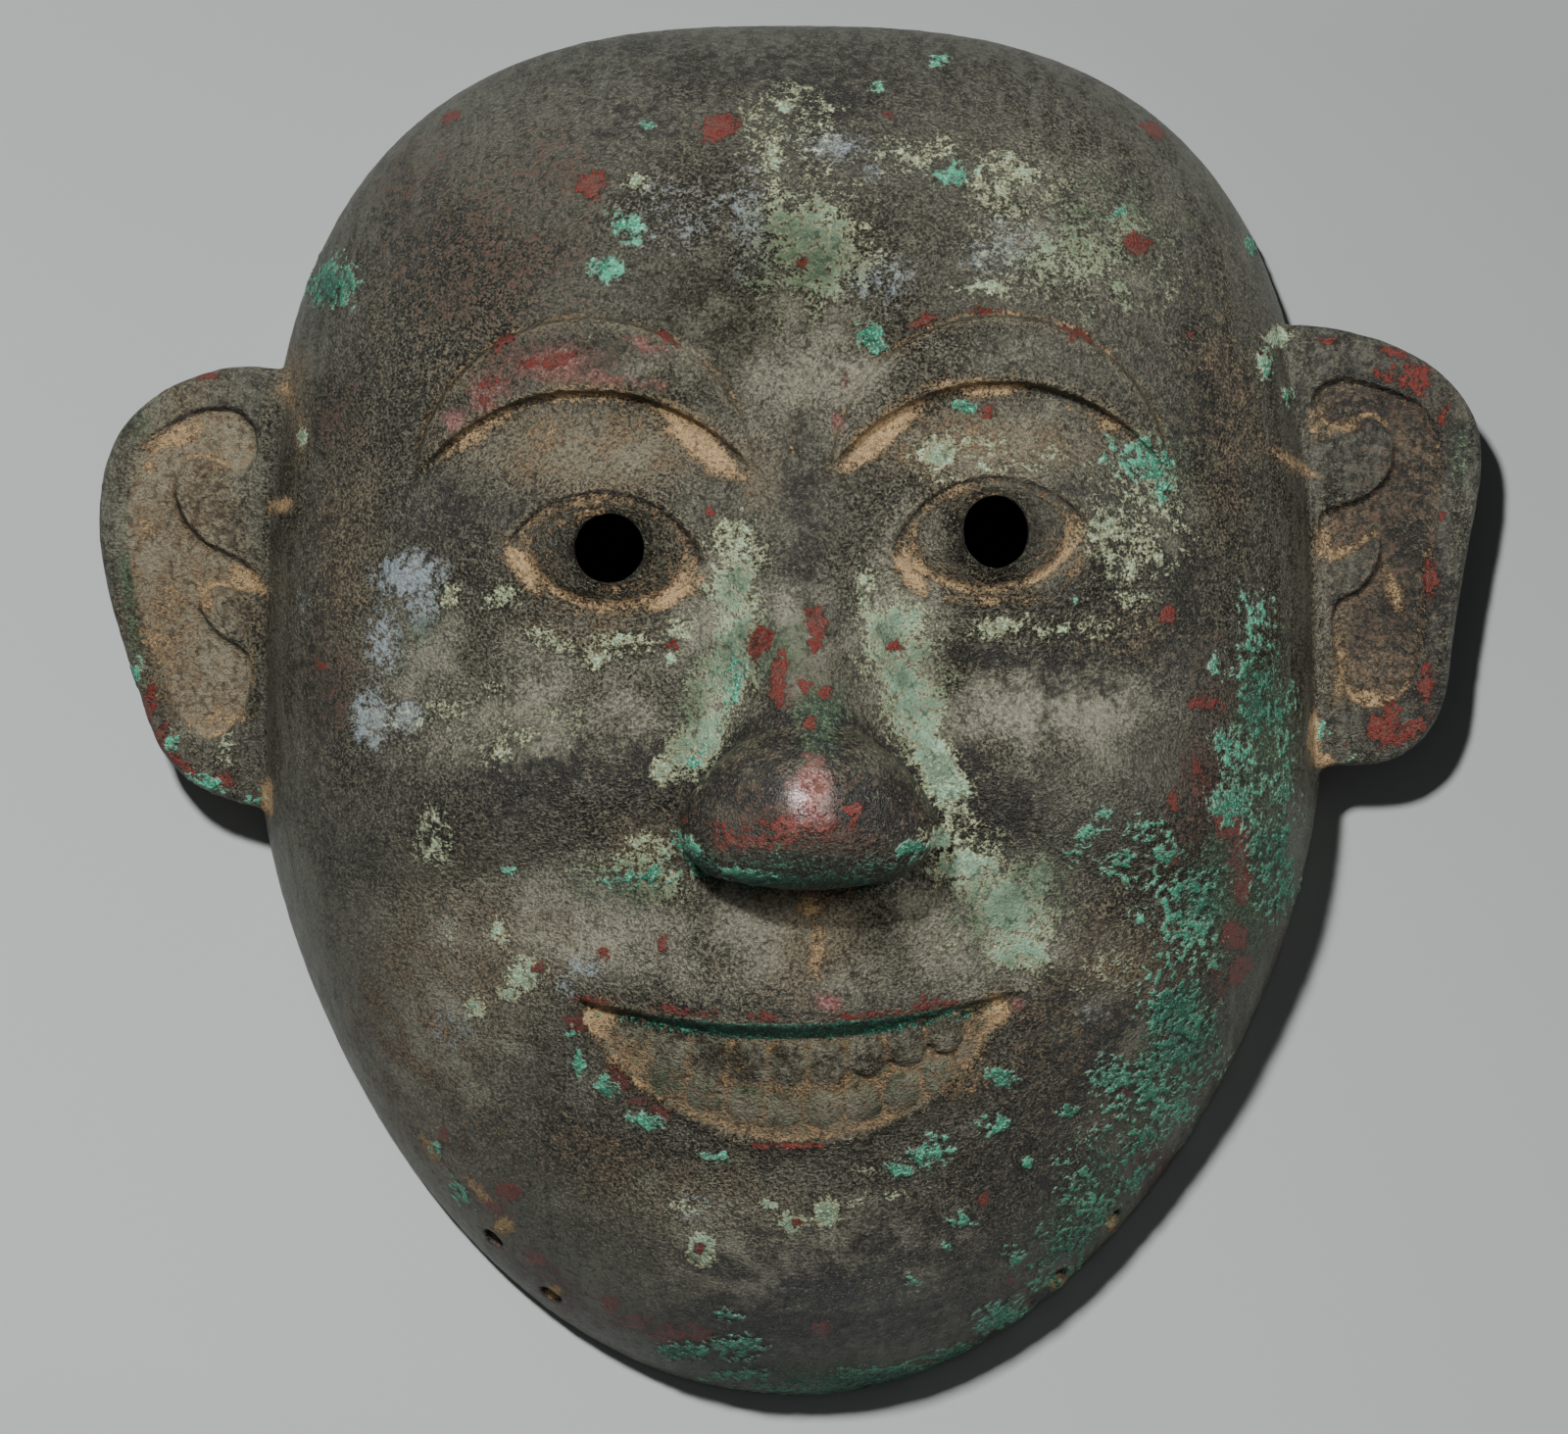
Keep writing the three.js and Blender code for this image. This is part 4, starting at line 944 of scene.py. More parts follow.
def skin_mesh(name, relief, sizes):
    """A closed skin over the casting's field, with its faces outwards."""
    field, low = casting_field(relief, sizes)
    grid = openvdb.FloatGrid(FIELD_BAND)
    grid.copyFromArray(np.clip(field, -FIELD_BAND, FIELD_BAND).astype(np.float32))
    points, _, quads = grid.convertToPolygons(isovalue=0.0, adaptivity=0.0)
    points = points * relief.step + low
    a, b, c, d = (points[quads[:, k]] for k in range(4))
    volume = np.einsum("ij,ij->i", a + b + c + d, np.cross(c - a, d - b)).sum()
    if volume < 0:
        quads = quads[:, ::-1]
    return mesh_of(name, points, quads)


def plain_mesh(piece, name):
    """The piece's mesh with its modifiers worked in, and the modifiers removed."""
    graph = bpy.context.evaluated_depsgraph_get()
    mesh = bpy.data.meshes.new_from_object(piece.evaluated_get(graph), depsgraph=graph)
    mesh.name = name
    piece.modifiers.clear()
    piece.data = mesh
    return mesh


def folds(points, corners):
    """How far the faces at each point turn away from one another: 1 where flat, below 0 in a fold."""
    a, b, c = (points[corners[:, k]] for k in range(3))
    faces = np.cross(b - a, c - a)
    normals = np.zeros_like(points)
    for k in range(3):
        np.add.at(normals, corners[:, k], faces)
    faces /= np.linalg.norm(faces, axis=1, keepdims=True) + 1e-12
    normals /= np.linalg.norm(normals, axis=1, keepdims=True) + 1e-12
    worst = np.ones(len(points))
    for k in range(3):
        np.minimum.at(worst, corners[:, k], np.einsum("ij,ij->i", normals[corners[:, k]], faces))
    return worst


def smooth_folds(mesh, least=0.4, rounds=10):
    """Even out the few points where thinning has folded the skin over."""
    corners = corners_of(mesh)
    points = places_of(mesh).T.astype(float)
    worst = folds(points, corners)
    for _ in range(rounds):
        near = corners[(worst < least)[corners].any(axis=1)]
        total, count = np.zeros_like(points), np.zeros((len(points), 1))
        for k in range(3):
            for other in (1, 2):
                np.add.at(total, near[:, k], points[near[:, (k + other) % 3]])
                np.add.at(count, near[:, k], 1)
        trial = points.copy()
        moved = np.flatnonzero((count[:, 0] > 0) & (worst < least))
        trial[moved] = total[moved] / count[moved]
        better = folds(trial, corners)
        kept = np.flatnonzero(better[moved] > worst[moved])
        points[moved[kept]] = trial[moved[kept]]
        worst = folds(points, corners)
    mesh.vertices.foreach_set("co", (points * MM).astype(np.float32).ravel())
    mesh.update()


def link(name, mesh):
    piece = bpy.data.objects.new(name, mesh)
    bpy.context.scene.collection.objects.link(piece)
    return piece


def outer_field(x, y, z, rise):
    """Field of the front alone, without its hollow, at single places."""
    return smooth_union(dome_field(x, y, z, rise), bulb_field(x, y, z), bulb_blend(y))


def seen_at(x, y, z):
    """Where places show in the view from above, in pixels across and down."""
    eye_x, eye_y, eye_z = VIEW["eye"]
    pixel = VIEW["sensor"] / VIEW["lens"] / VIEW["width"] * (eye_z - z)
    return VIEW["width"] / 2 + (x - eye_x) / pixel, VIEW["height"] / 2 - (y - eye_y) / pixel


def stain(across, down, name):
    """How strongly one kind of stain lies at each place of the view, from its soft spots."""
    amount = np.zeros(across.shape)
    for cx, cy, half_x, half_y, strength, *turn in STAINS[name]:
        reach = SPOT_REACH * max(half_x, half_y)
        near = np.flatnonzero((np.abs(across - cx) < reach) & (np.abs(down - cy) < reach))
        u, v = turned(across[near], -down[near], (cx, -cy), math.radians(sum(turn)))
        spot = strength * np.exp(-((u / half_x) ** 2 + (v / half_y) ** 2) ** SPOT_EDGE)
        amount[near] = np.maximum(amount[near], spot)
    return amount


def tooth_spots(row):
    """Where the teeth of one row stand, seen from the front."""
    across = (np.arange(row["count"]) - (row["count"] - 1) / 2) * row["pitch"]
    return row["x"] + across, row["y"] + row["curl"] * across**2


def tooth_cover(x, y, row):
    """1 on the teeth of one row, 0 between them."""
    cover = np.zeros(x.shape)
    for tooth_x, tooth_y in zip(*tooth_spots(row)):
        square = np.abs((x - tooth_x) / row["half_x"]) ** 3 + np.abs((y - tooth_y) / row["half_y"]) ** 3
        cover = np.maximum(cover, 1 - ramp(square, 0.4, 1.0))
    return cover


def raise_to(amounts, name, values):
    """Bring one kind of stain up to the given amounts where it is weaker."""
    amounts[name] = np.maximum(amounts[name], values)


def crevice_soil(x, y, relief):
    """Soil that lies in the recesses: along sunk edges and round the eyeballs."""
    cavity = relief.read(blurred(relief.sunk, relief.step, CREVICE["blur"]) - relief.sunk, x, y)
    soil = CREVICE["soil"] * ramp(cavity, *CREVICE["depth"])
    for centre in EYES:
        u, v, below_top, above_foot = eye_edges(x, y, centre)
        inside = np.minimum(below_top, above_foot)
        radial = np.sqrt((u / EYEBALL["half_x"]) ** 2 + (v / EYEBALL["half_y"]) ** 2)
        band = ramp(inside, *EYE_SOIL["edge"]) * ramp(radial, EYE_SOIL["ball_ends"], EYE_SOIL["foot"])
        soil = np.maximum(soil, band * (EYE_SOIL["round"] + EYE_SOIL["below"] * ramp(-v, *EYE_SOIL["down"])))
        on_ball = (inside > EYE_SOIL["ball_edge"]) & (radial < EYE_SOIL["ball_ends"])
        ball = EYE_SOIL["ball"] * ramp(radial, EYE_SOIL["ball_starts"], EYE_SOIL["ball_ends"])
        soil = np.where(on_ball, ball, soil)
    return soil


def ear_amounts(x, y):
    """What lies on the ears, by name: on the floors of the scrolls, on their edges and beside them, and a
    painted shadow along the scrolls' edges.
    """
    amounts = {name: np.zeros(x.shape) for name in ("dark", *LEFT_EAR["floor"])}
    for ear in EARS:
        side = math.copysign(1, ear["outline"][0][0])
        near = side * x > EAR["inner"]
        loop = smooth_loop(ear["recess"])
        scroll = loop_distance(x[near], y[near], loop)
        foot = edge_step(loop_distance(x[near], y[near] - EAR_SOIL["drop"], loop), 0.5)
        floor = ramp(-scroll, *EAR_SOIL["floor"])
        for name, amount in ear["floor"].items():
            amounts[name][near] = amount * floor
        edge = EAR_SOIL["edge"] * line(scroll + EAR_SOIL["in"], EAR_SOIL["half"])
        amounts["soil"][near] += floor * (edge + EAR_SOIL["foot"] * foot)
        # A painted shadow along the scroll's edge
        shadow = EAR_SHADOW["dark"] * line(scroll - EAR_SHADOW["out"], EAR_SHADOW["half"]) * (1 - foot)
        amounts["dark"][near] = np.maximum(ear["dark"] * (1 - floor), shadow)
    return amounts


def mouth_amounts(x, y):
    """What lies in the mouth, by name: on its floor and its teeth, and on its lips, where the deep green
    under the upper lip is partly painted shade.
    """
    u, below_top, above_foot = mouth_edges(x, y)
    upper, lower = (tooth_cover(x, y, row) for row in TEETH_ROWS)
    floor = ramp(np.minimum(below_top - 2.2, above_foot), 0, 0.8)
    near_middle = line(u, MOUTH_MIDDLE["half"])
    middle = near_middle * ramp(above_foot, *MOUTH_MIDDLE["up"])
    amounts = {}
    for name, (everywhere, on_upper, on_lower, in_middle) in MOUTH_FLOOR.items():
        amounts[name] = floor * (everywhere + on_upper * upper + on_lower * lower + in_middle * middle)
    soil = MOUTH_SOIL["least"] + MOUTH_SOIL["between"] * (1 - upper) * (1 - lower)
    soil = soil + MOUTH_SOIL["corners"] * ramp(np.abs(u), *MOUTH_SOIL["corner_x"])
    edge = line(np.minimum(above_foot, below_top + 1) - 0.6, 1.1)
    amounts["soil"] = floor * (soil + MOUTH_SOIL["edge"] * edge)
    # Deep green under the upper lip: green patina and painted shade
    lip = edge_step(below_top, LIP_GREEN["starts"]) * (1 - ramp(below_top, *LIP_GREEN["ends"]))
    amounts["deep"] = LIP_GREEN["deep"] * lip * near_middle * (above_foot > 0)
    rim = line(above_foot + LIP_RIM["out"], LIP_RIM["half"]) * (below_top > 0)
    for name in ("dark", "gloss"):
        raise_to(amounts, name, LIP_RIM[name] * rim)
    return amounts


def patina(mesh, relief):
    """The soft amounts of every stain and wear, and of the painted shade and highlight, on the mesh's
    points, by name.
    """
    x, y, z = places_of(mesh)
    rise = relief.read(relief.rise, x, y)
    inside = ramp(-outer_field(x, y, z, rise), *HOLLOW["depth"])
    inside = inside * ramp(HALF_WIDTH + HOLLOW["past"] - np.abs(x), *HOLLOW["fade"])
    on_ear = ramp(np.hypot(x, y - WIDEST_Y) / rim_radius(x, y), *EARS_FROM)
    stained = (1 - inside) * (1 - on_ear * ramp(EAR_EDGES["z"] - z, *EAR_EDGES["fade"]))
    share, _ = dome_shape(x, y)
    seen = seen_at(x, y, z)
    amounts = {name: stain(*seen, name) for name in STAINS}
    for name, values in mouth_amounts(x, y).items():
        raise_to(amounts, name, values)
    raise_to(amounts, "soil", crevice_soil(x, y, relief) * (1 - on_ear))
    for name, values in ear_amounts(x, y).items():
        raise_to(amounts, name, values * on_ear * ramp(z, *EAR_FRONTS))
    # A painted shade line under each upper lid
    for centre in EYES:
        _, _, below_top, above_foot = eye_edges(x, y, centre)
        lid = LID_SHADE_LINE["dark"] * line(below_top - LID_SHADE_LINE["in"], LID_SHADE_LINE["half"])
        raise_to(amounts, "dark", lid * (above_foot > 0))
    for pupil in PUPILS:
        ring = np.hypot(x - pupil["at"][0], y - pupil["at"][1]) - pupil["half"][1]
        raise_to(amounts, "gloss", PUPIL_RING["gloss"] * line(ring - PUPIL_RING["out"], PUPIL_RING["half"]))
    # Deep green under the nose's foot: green patina and painted shade
    spot = NOSE_FOOT
    near = hump(x - BULB["x"], y - spot["y"], spot["half_x"], spot["half_y"])
    foot = ramp(-outer_field(x, y - spot["drop"], z, rise), *spot["depth"])
    raise_to(amounts, "deep", spot["deep"] * foot * near)
    # A painted shade line in the crease round the nose's bulb
    spot = NOSE_CREASE_SHADE
    near = hump(x - BULB["x"], y - BULB["y"], spot["half_x"], spot["half_y"])
    apart = np.abs(dome_field(x, y, z, rise) - bulb_field(x, y, z))
    raise_to(amounts, "dark", spot["dark"] * (1 - ramp(apart, *spot["apart"])) * near)
    proud = relief.read(relief.sunk - blurred(relief.sunk, relief.step, WEAR["blur"]), x, y)
    amounts["wear"] = ramp(proud, *WEAR["proud"])
    amounts["wall"] = ramp(share, *STREAKED_WALL)
    return {**{name: values * stained for name, values in amounts.items()}, "inside": inside}


def keep_amounts(mesh, amounts):
    """Store amounts as float attributes of the mesh's points."""
    for name, values in amounts.items():
        layer = mesh.attributes.new(name, "FLOAT", "POINT")
        layer.data.foreach_set("value", values.astype(np.float32))


class Web:
    """A node tree that is filled in from left to right."""

    def __init__(self, tree):
        self.tree = tree

    def node(self, kind, inputs=(), **settings):
        """A new node with its settings, and values or links on its inputs."""
        made = self.tree.nodes.new(kind)
        count = len(self.tree.nodes)
        made.location = (220 * (count % 9), -260 * (count // 9))
        for name, value in settings.items():
            setattr(made, name, value)
        for key, value in dict(inputs).items():
            self.feed(made.inputs[key], value)
        return made

    def feed(self, socket, value):
        if isinstance(value, bpy.types.NodeSocket):
            self.tree.links.new(value, socket)
        else:
            socket.default_value = value

    def group(self, tree, inputs):
        """The outputs of a node group that is placed with its own values."""
        made = self.node(tree.bl_idname.replace("Tree", "Group"), node_tree=tree)
        for name, value in inputs.items():
            self.feed(made.inputs[name], value)
        return made.outputs

    def mask(self, patches, amount, noises, weights, softness):
        """Where a layer lies: its amount broken up by the group of patches."""
        values = {"Amount": amount, "Noises": noises, "Weights": weights, "Softness": softness}
        return self.group(patches, values)["Mask"]

    def math(self, operation, *values):
        return self.node("ShaderNodeMath", dict(enumerate(values)), operation=operation).outputs[0]

    def times(self, *values):
        return self.math("MULTIPLY", *values)

    def vector(self, operation, *values):
        return self.node("ShaderNodeVectorMath", dict(enumerate(values)), operation=operation).outputs[0]

    def dot(self, vector, weights):
        made = self.node("ShaderNodeVectorMath", {0: vector, 1: weights}, operation="DOT_PRODUCT")
        return made.outputs["Value"]

    def scaled(self, vector, factor):
        return self.node("ShaderNodeVectorMath", {0: vector, "Scale": factor}, operation="SCALE").outputs[0]

    def cell(self, place, size):
        """A place divided by a size, for a pattern of that size."""
        return self.scaled(place, self.math("DIVIDE", 1.0, size))

    def noise(self, place, size, detail=3.0, rough=0.55, offset=0.0):
        """Noise of a given size, about 0.5; offset tells one use from another."""
        moved = self.vector("ADD", self.cell(place, size), (offset, offset, offset))
        values = {"Vector": moved, "Scale": 1.0, "Detail": detail, "Roughness": rough}
        return self.node("ShaderNodeTexNoise", values).outputs[0]

    def step(self, value, low, high):
        """Smooth step of a value from 0 at low to 1 at high."""
        values = {"Value": value, "From Min": low, "From Max": high}
        made = self.node("ShaderNodeMapRange", values, interpolation_type="SMOOTHSTEP")
        return made.outputs["Result"]

    def blend(self, share, below, above):
        """A colour over another."""
        made = self.node("ShaderNodeMix", {0: share, 6: below, 7: above}, data_type="RGBA")
        return made.outputs[2]

    def level(self, share, below, above):
        """A number over another."""
        return self.node("ShaderNodeMix", {0: share, 2: below, 3: above}).outputs[0]

    def moved_out(self, geometry, reach):
        """A geometry with its points moved out along their normals."""
        offset = self.scaled(self.node("GeometryNodeInputNormal").outputs[0], reach)
        return self.node("GeometryNodeSetPosition", {"Geometry": geometry, "Offset": offset}).outputs[0]


def node_group(name, kind, inputs, outputs):
    """An empty node group with named sockets; a tuple holds a socket's type and default."""
    tree = bpy.data.node_groups.new(name, kind)
    for label, (socket_type, default) in inputs.items():
        socket = tree.interface.new_socket(label, in_out="INPUT", socket_type="NodeSocket" + socket_type)
        if default is not None:
            socket.default_value = default
    for label, socket_type in outputs.items():
        tree.interface.new_socket(label, in_out="OUTPUT", socket_type="NodeSocket" + socket_type)
    web = Web(tree)
    return web, web.node("NodeGroupInput").outputs, web.node("NodeGroupOutput").inputs


def weathering_group(kind):
    """Group: three noises, fine, middle and broad, that all stains share; each is about zero."""
    name = "Weathering " + GROUP_USES[kind]
    web, given, made = node_group(name, kind, {"Place": ("Vector", None)}, {"Noises": "Vector"})
    noises = [web.noise(given["Place"], *sizes) for sizes in WEATHERING]
    joined = web.node("ShaderNodeCombineXYZ", dict(enumerate(noises))).outputs[0]
    web.feed(made["Noises"], web.vector("SUBTRACT", joined, (0.5, 0.5, 0.5)))
    return web.tree


def patch_group(kind):
    """Group: breaks a soft amount up into ragged patches. Used by the skin and by the bronze."""
    web, given, made = node_group(
        "Patches " + GROUP_USES[kind],
        kind,
        {
            "Amount": ("Float", 0.0),
            "Noises": ("Vector", None),
            "Weights": ("Vector", (0.0, 1.0, 1.0)),
            "Softness": ("Float", 0.1),
        },
        {"Mask": "Float"},
    )
    level = web.math("ADD", given["Amount"], web.dot(given["Noises"], given["Weights"]))
    low = web.math("SUBTRACT", 0.5, given["Softness"])
    high = web.math("ADD", 0.5, given["Softness"])
    near = web.step(given["Amount"], 0.02, 0.12)
    web.feed(made["Mask"], web.times(web.step(level, low, high), near))
    return web.tree


def casting_grain_group():
    """Group: the pebbled grain of old cast bronze: its height, fine and broader tones, flecks and pits."""
    web, given, made = node_group(
        "Casting grain",
        "ShaderNodeTree",
        {
            "Place": ("Vector", None),
            "Noises": ("Vector", None),
            "Pebble": ("Float", 0.0012),
        },
        {name: "Float" for name in ("Height", *GRAIN_TONES, "Pits")},
    )
    cell = {"Vector": web.cell(given["Place"], given["Pebble"]), "Scale": 1.0}
    distance = web.node("ShaderNodeTexVoronoi", cell).outputs["Distance"]
    web.feed(made["Height"], web.dot(given["Noises"], GRAIN_HEIGHT))
    for name, (weights, low, high) in GRAIN_TONES.items():
        web.feed(made[name], web.step(web.dot(given["Noises"], weights), low, high))
    web.feed(made["Pits"], web.step(distance, *PITS))
    return web.tree


def tooth_row_tree():
    """Geometry Nodes: one rounded, uneven tooth on each point, on the mouth's floor."""
    web, given, made = node_group(
        "Tooth row",
        "GeometryNodeTree",
        {
            "Places": ("Geometry", None),
            "Half Width": ("Float", 0.003),
            "Half Length": ("Float", 0.003),
            "Rise": ("Float", 0.001),
            "Unevenness": ("Float", 0.0003),
            "Seed": ("Int", 0),
            "Material": ("Material", None),
        },
        {"Teeth": "Geometry"},
    )
    ball = web.node("GeometryNodeMeshIcoSphere", {"Radius": 1.0, "Subdivisions": 4}).outputs["Mesh"]
    halves = {0: given["Half Width"], 1: given["Half Length"], 2: given["Rise"]}
    size = web.node("ShaderNodeCombineXYZ", halves)
    spread = {0: TOOTH_SPREAD[0], 1: TOOTH_SPREAD[1], "Seed": given["Seed"]}
    share = web.node("FunctionNodeRandomValue", spread, data_type="FLOAT_VECTOR").outputs[0]
    scale = web.vector("MULTIPLY", size.outputs[0], share)
    lean = web.node("GeometryNodeInputNamedAttribute", {"Name": "lean"}, data_type="FLOAT_VECTOR").outputs[0]
    teeth = web.node(
        "GeometryNodeInstanceOnPoints",
        {"Points": given["Places"], "Instance": ball, "Rotation": lean, "Scale": scale},
    ).outputs[0]
    whole = web.node("GeometryNodeRealizeInstances", {"Geometry": teeth}).outputs[0]
    place = web.node("GeometryNodeInputPosition").outputs[0]
    lumps = web.math("SUBTRACT", web.noise(place, *TOOTH_LUMPS), 0.5)
    rough = web.moved_out(whole, web.times(lumps, web.times(given["Unevenness"], NOISE_SWING)))
    done = web.node("GeometryNodeSetMaterial", {"Geometry": rough, "Material": given["Material"]}).outputs[0]
    web.feed(made["Teeth"], done)
    return web.tree


def cast_skin_tree():
    """Geometry Nodes: pebbles all over, and crusts that stand up where stains are thick."""
    web, given, made = node_group(
        "Cast skin",
        "GeometryNodeTree",
        {
            "Casting": ("Geometry", None),
            "Pebble Size": ("Float", 0.003),
            "Pebble Depth": ("Float", 0.0002),
            "Crust": ("Float", 0.0002),
            "Flat Rim": ("Float", 0.0012),
            "Material": ("Material", None),
        },
        {"Skin": "Geometry"},
    )

    def amount(name):
        return web.node("GeometryNodeInputNamedAttribute", {"Name": name}, data_type="FLOAT").outputs[0]

    place = web.node("GeometryNodeInputPosition").outputs[0]
    noises = web.group(weathering_group("GeometryNodeTree"), {"Place": place})["Noises"]
    lumps = web.math("SUBTRACT", web.noise(place, given["Pebble Size"], *PEBBLES["noise"]), 0.5)
    raised = web.level(amount("coarse"), PEBBLES["plain"], PEBBLES["coarse"])
    depth = web.times(given["Pebble Depth"], raised)
    push = web.times(web.times(lumps, depth), web.level(amount("inside"), 1.0, PEBBLES["inside"]))
    patches = patch_group("GeometryNodeTree")
    for stained in CRUSTS:
        layer = LAYERS[stained]
        mask = web.mask(patches, amount(stained), noises, layer.weights, CRUST_SOFTNESS)
        crust = web.times(mask, web.times(given["Crust"], layer.crust))
        push = web.math("ADD", push, crust)
    height = web.node("ShaderNodeSeparateXYZ", {0: place}).outputs["Z"]
    lifted = web.step(height, web.times(given["Flat Rim"], 0.3), given["Flat Rim"])
    rough = web.moved_out(given["Casting"], web.times(push, lifted))
    whole = web.node("GeometryNodeRealizeInstances", {"Geometry": rough}).outputs[0]
    done = web.node("GeometryNodeSetMaterial", {"Geometry": whole, "Material": given["Material"]}).outputs[0]
    web.feed(made["Skin"], done)
    return web.tree


def grow(piece, tree, values):
    """Put a Geometry Nodes tree on a piece, its inputs set by their identifiers."""
    modifier = piece.modifiers.new(tree.name, "NODES")
    modifier.node_group = tree
    for item in tree.interface.items_tree:
        if item.in_out == "INPUT" and item.name in values:
            modifier[item.identifier] = values[item.name]
    return modifier


# The teeth's least and greatest shares of their sizes, and their lumps: size in metres, detail,
# roughness and offset of the noise
TOOTH_SPREAD = ((0.86, 0.88, 0.75), (1.1, 1.1, 1.2))
TOOTH_LUMPS = (1.6 * MM, 3.0, 0.6, 4.4)
# About how much a noise has to be raised to swing by one unit
NOISE_SWING = 4.0
# The casting skin: detail, roughness and offset of its noise, and how far its pebbles' depth is raised
PEBBLES = {"noise": (4.0, 0.6, 1.7), "plain": 2.5, "coarse": 6.0, "inside": 0.25}
CRUST_SOFTNESS = 0.25

# What the shared node groups are for, by the kind of tree
GROUP_USES = {"ShaderNodeTree": "in colour", "GeometryNodeTree": "in relief"}

# The shared noises, fine, middle and broad: size in metres, detail, roughness, offset
WEATHERING = [(0.5 * MM, 2.0, 0.85, 5.3), (1.6 * MM, 2.0, 0.65, 1.9), (8.0 * MM, 1.0, 0.6, 9.4)]

# The grain: how the shared noises make up its height and its tones, and where those begin and end
GRAIN_HEIGHT = (1.25, 0.8, 0.0)
GRAIN_TONES = {
    "Tone": ((1.1, 0.35, 0.15), -0.12, 0.13),
    "Mottle": ((0.5, 1.0, -1.0), -0.14, 0.14),
    "Flecks": ((1.6, 0.3, 0.0), 0.12, 0.24),
}
PITS = (0.6, 0.85)
PIT_SIZE = 0.9 * MM

# Streaks down the walls and a broad drift of tone: size in metres, detail, roughness and offset of the
# noise, and where it begins and ends
STREAKS = {"stretch": (1.0, 0.12, 0.3), "noise": (2.2 * MM, 2.0, 0.6, 2.6), "step": (0.4, 0.62)}
DRIFT = {"noise": (26 * MM, 1.0, 0.5, 9.9), "step": (0.4, 0.64)}
# How strongly each shows in the bronze's colour; the pale flecks on the bare bronze are partly grain and
# partly painted glints
SHARES = {"flecks": 0.3, "drift": 0.25, "streaks": 0.4, "wear": 0.75, "pits": 0.55}
# The bronze's finish: where plain, glossy, on the grain's tops and in the hollow, and under a thick gloss
FINISH = {"plain": 0.4, "glossy": 0.28, "tops": 0.08, "hollow": 0.72, "polished": 0.16}
METAL = {"plain": 0.45, "glossy": 0.75}
BUMP = {"distance": 0.5 * MM, "coarse": 2.2, "smooth": 0.1}
# Brings mask * (1 - mask), greatest halfway through a patch's edge, up to 1 there
RIM_PEAK = 4.0


class Layer(NamedTuple):
    """A layer of patina: the weights of the three noises in its patches' edges, how soft those are, its
    low, high and flecked colours, its roughness, its rise in the bump and in the skin, how much of the
    flecked colour lies along its edges, and how far the broader tone takes the fine one's place.
    """

    weights: tuple
    soft: float
    colours: tuple
    rough: float
    bump: float = 0.0
    crust: float = 0.0
    rim: float = 0.0
    mottle: float = 0.35


# Layers of patina from the bottom up
LAYERS = {
    "warm": Layer((0.8, 1.2, 1.0), 0.45, ("bronze_deep", "umber", "soil_deep"), 0.62),
    "grey": Layer((0.6, -0.8, -1.2), 0.45, ("bronze", "stone", "stone"), 0.6),
    "dust": Layer((1.2, -0.8, 0.6), 0.5, ("umber", "dust", "soil_deep"), 0.85),
    "rust": Layer((2.6, 1.4, 0.5), 0.15, ("bronze_deep", "rust", "rust"), 0.55),
    "blue": Layer((1.2, 1.5, 0.8), 0.35, ("bronze_grey", "blue_grey", "stone"), 0.6),
    # Dark patina, with painted shade along the lids, the ears' scrolls and round the nose
    "dark": Layer((0.8, -1.5, 1.2), 0.4, ("bronze_deep", "bronze_deep", "bronze"), 0.45),
    "pink": Layer((-0.8, -2.0, 1.2), 0.3, ("rust", "pink", "stone"), 0.5),
    "soil": Layer(
        (1.5, -1.2, 0.8), 0.25, ("soil_deep", "soil", "umber"),
        0.92, bump=0.3, crust=0.4, rim=0.3,
    ),
    "pale": Layer(
        (1.3, 1.5, 1.2), 0.26, ("verdigris", "celadon", "cream"),
        0.75, bump=0.3, crust=0.5, rim=0.6, mottle=0.6,
    ),
    "olive": Layer((0.9, 1.2, 1.0), 0.35, ("bottle_green", "olive", "verdigris"), 0.65),
    "red": Layer((0.8, 1.8, 1.2), 0.08, ("rust", "cuprite", "cuprite"), 0.45, bump=0.2, crust=0.3),
    "green": Layer(
        (-0.9, 3.0, 1.5), 0.12, ("malachite_deep", "malachite", "mint"),
        0.7, bump=0.5, crust=1.0, rim=0.9, mottle=0.8,
    ),
    # Dark green patina, partly painted shade under the upper lip and the nose
    "deep": Layer(
        (1.0, 1.2, 0.5), 0.2, ("bottle_green", "malachite_deep", "malachite"),
        0.6, bump=0.2, crust=0.4,
    ),
}
CRUSTS = [name for name, layer in LAYERS.items() if layer.crust > 0]


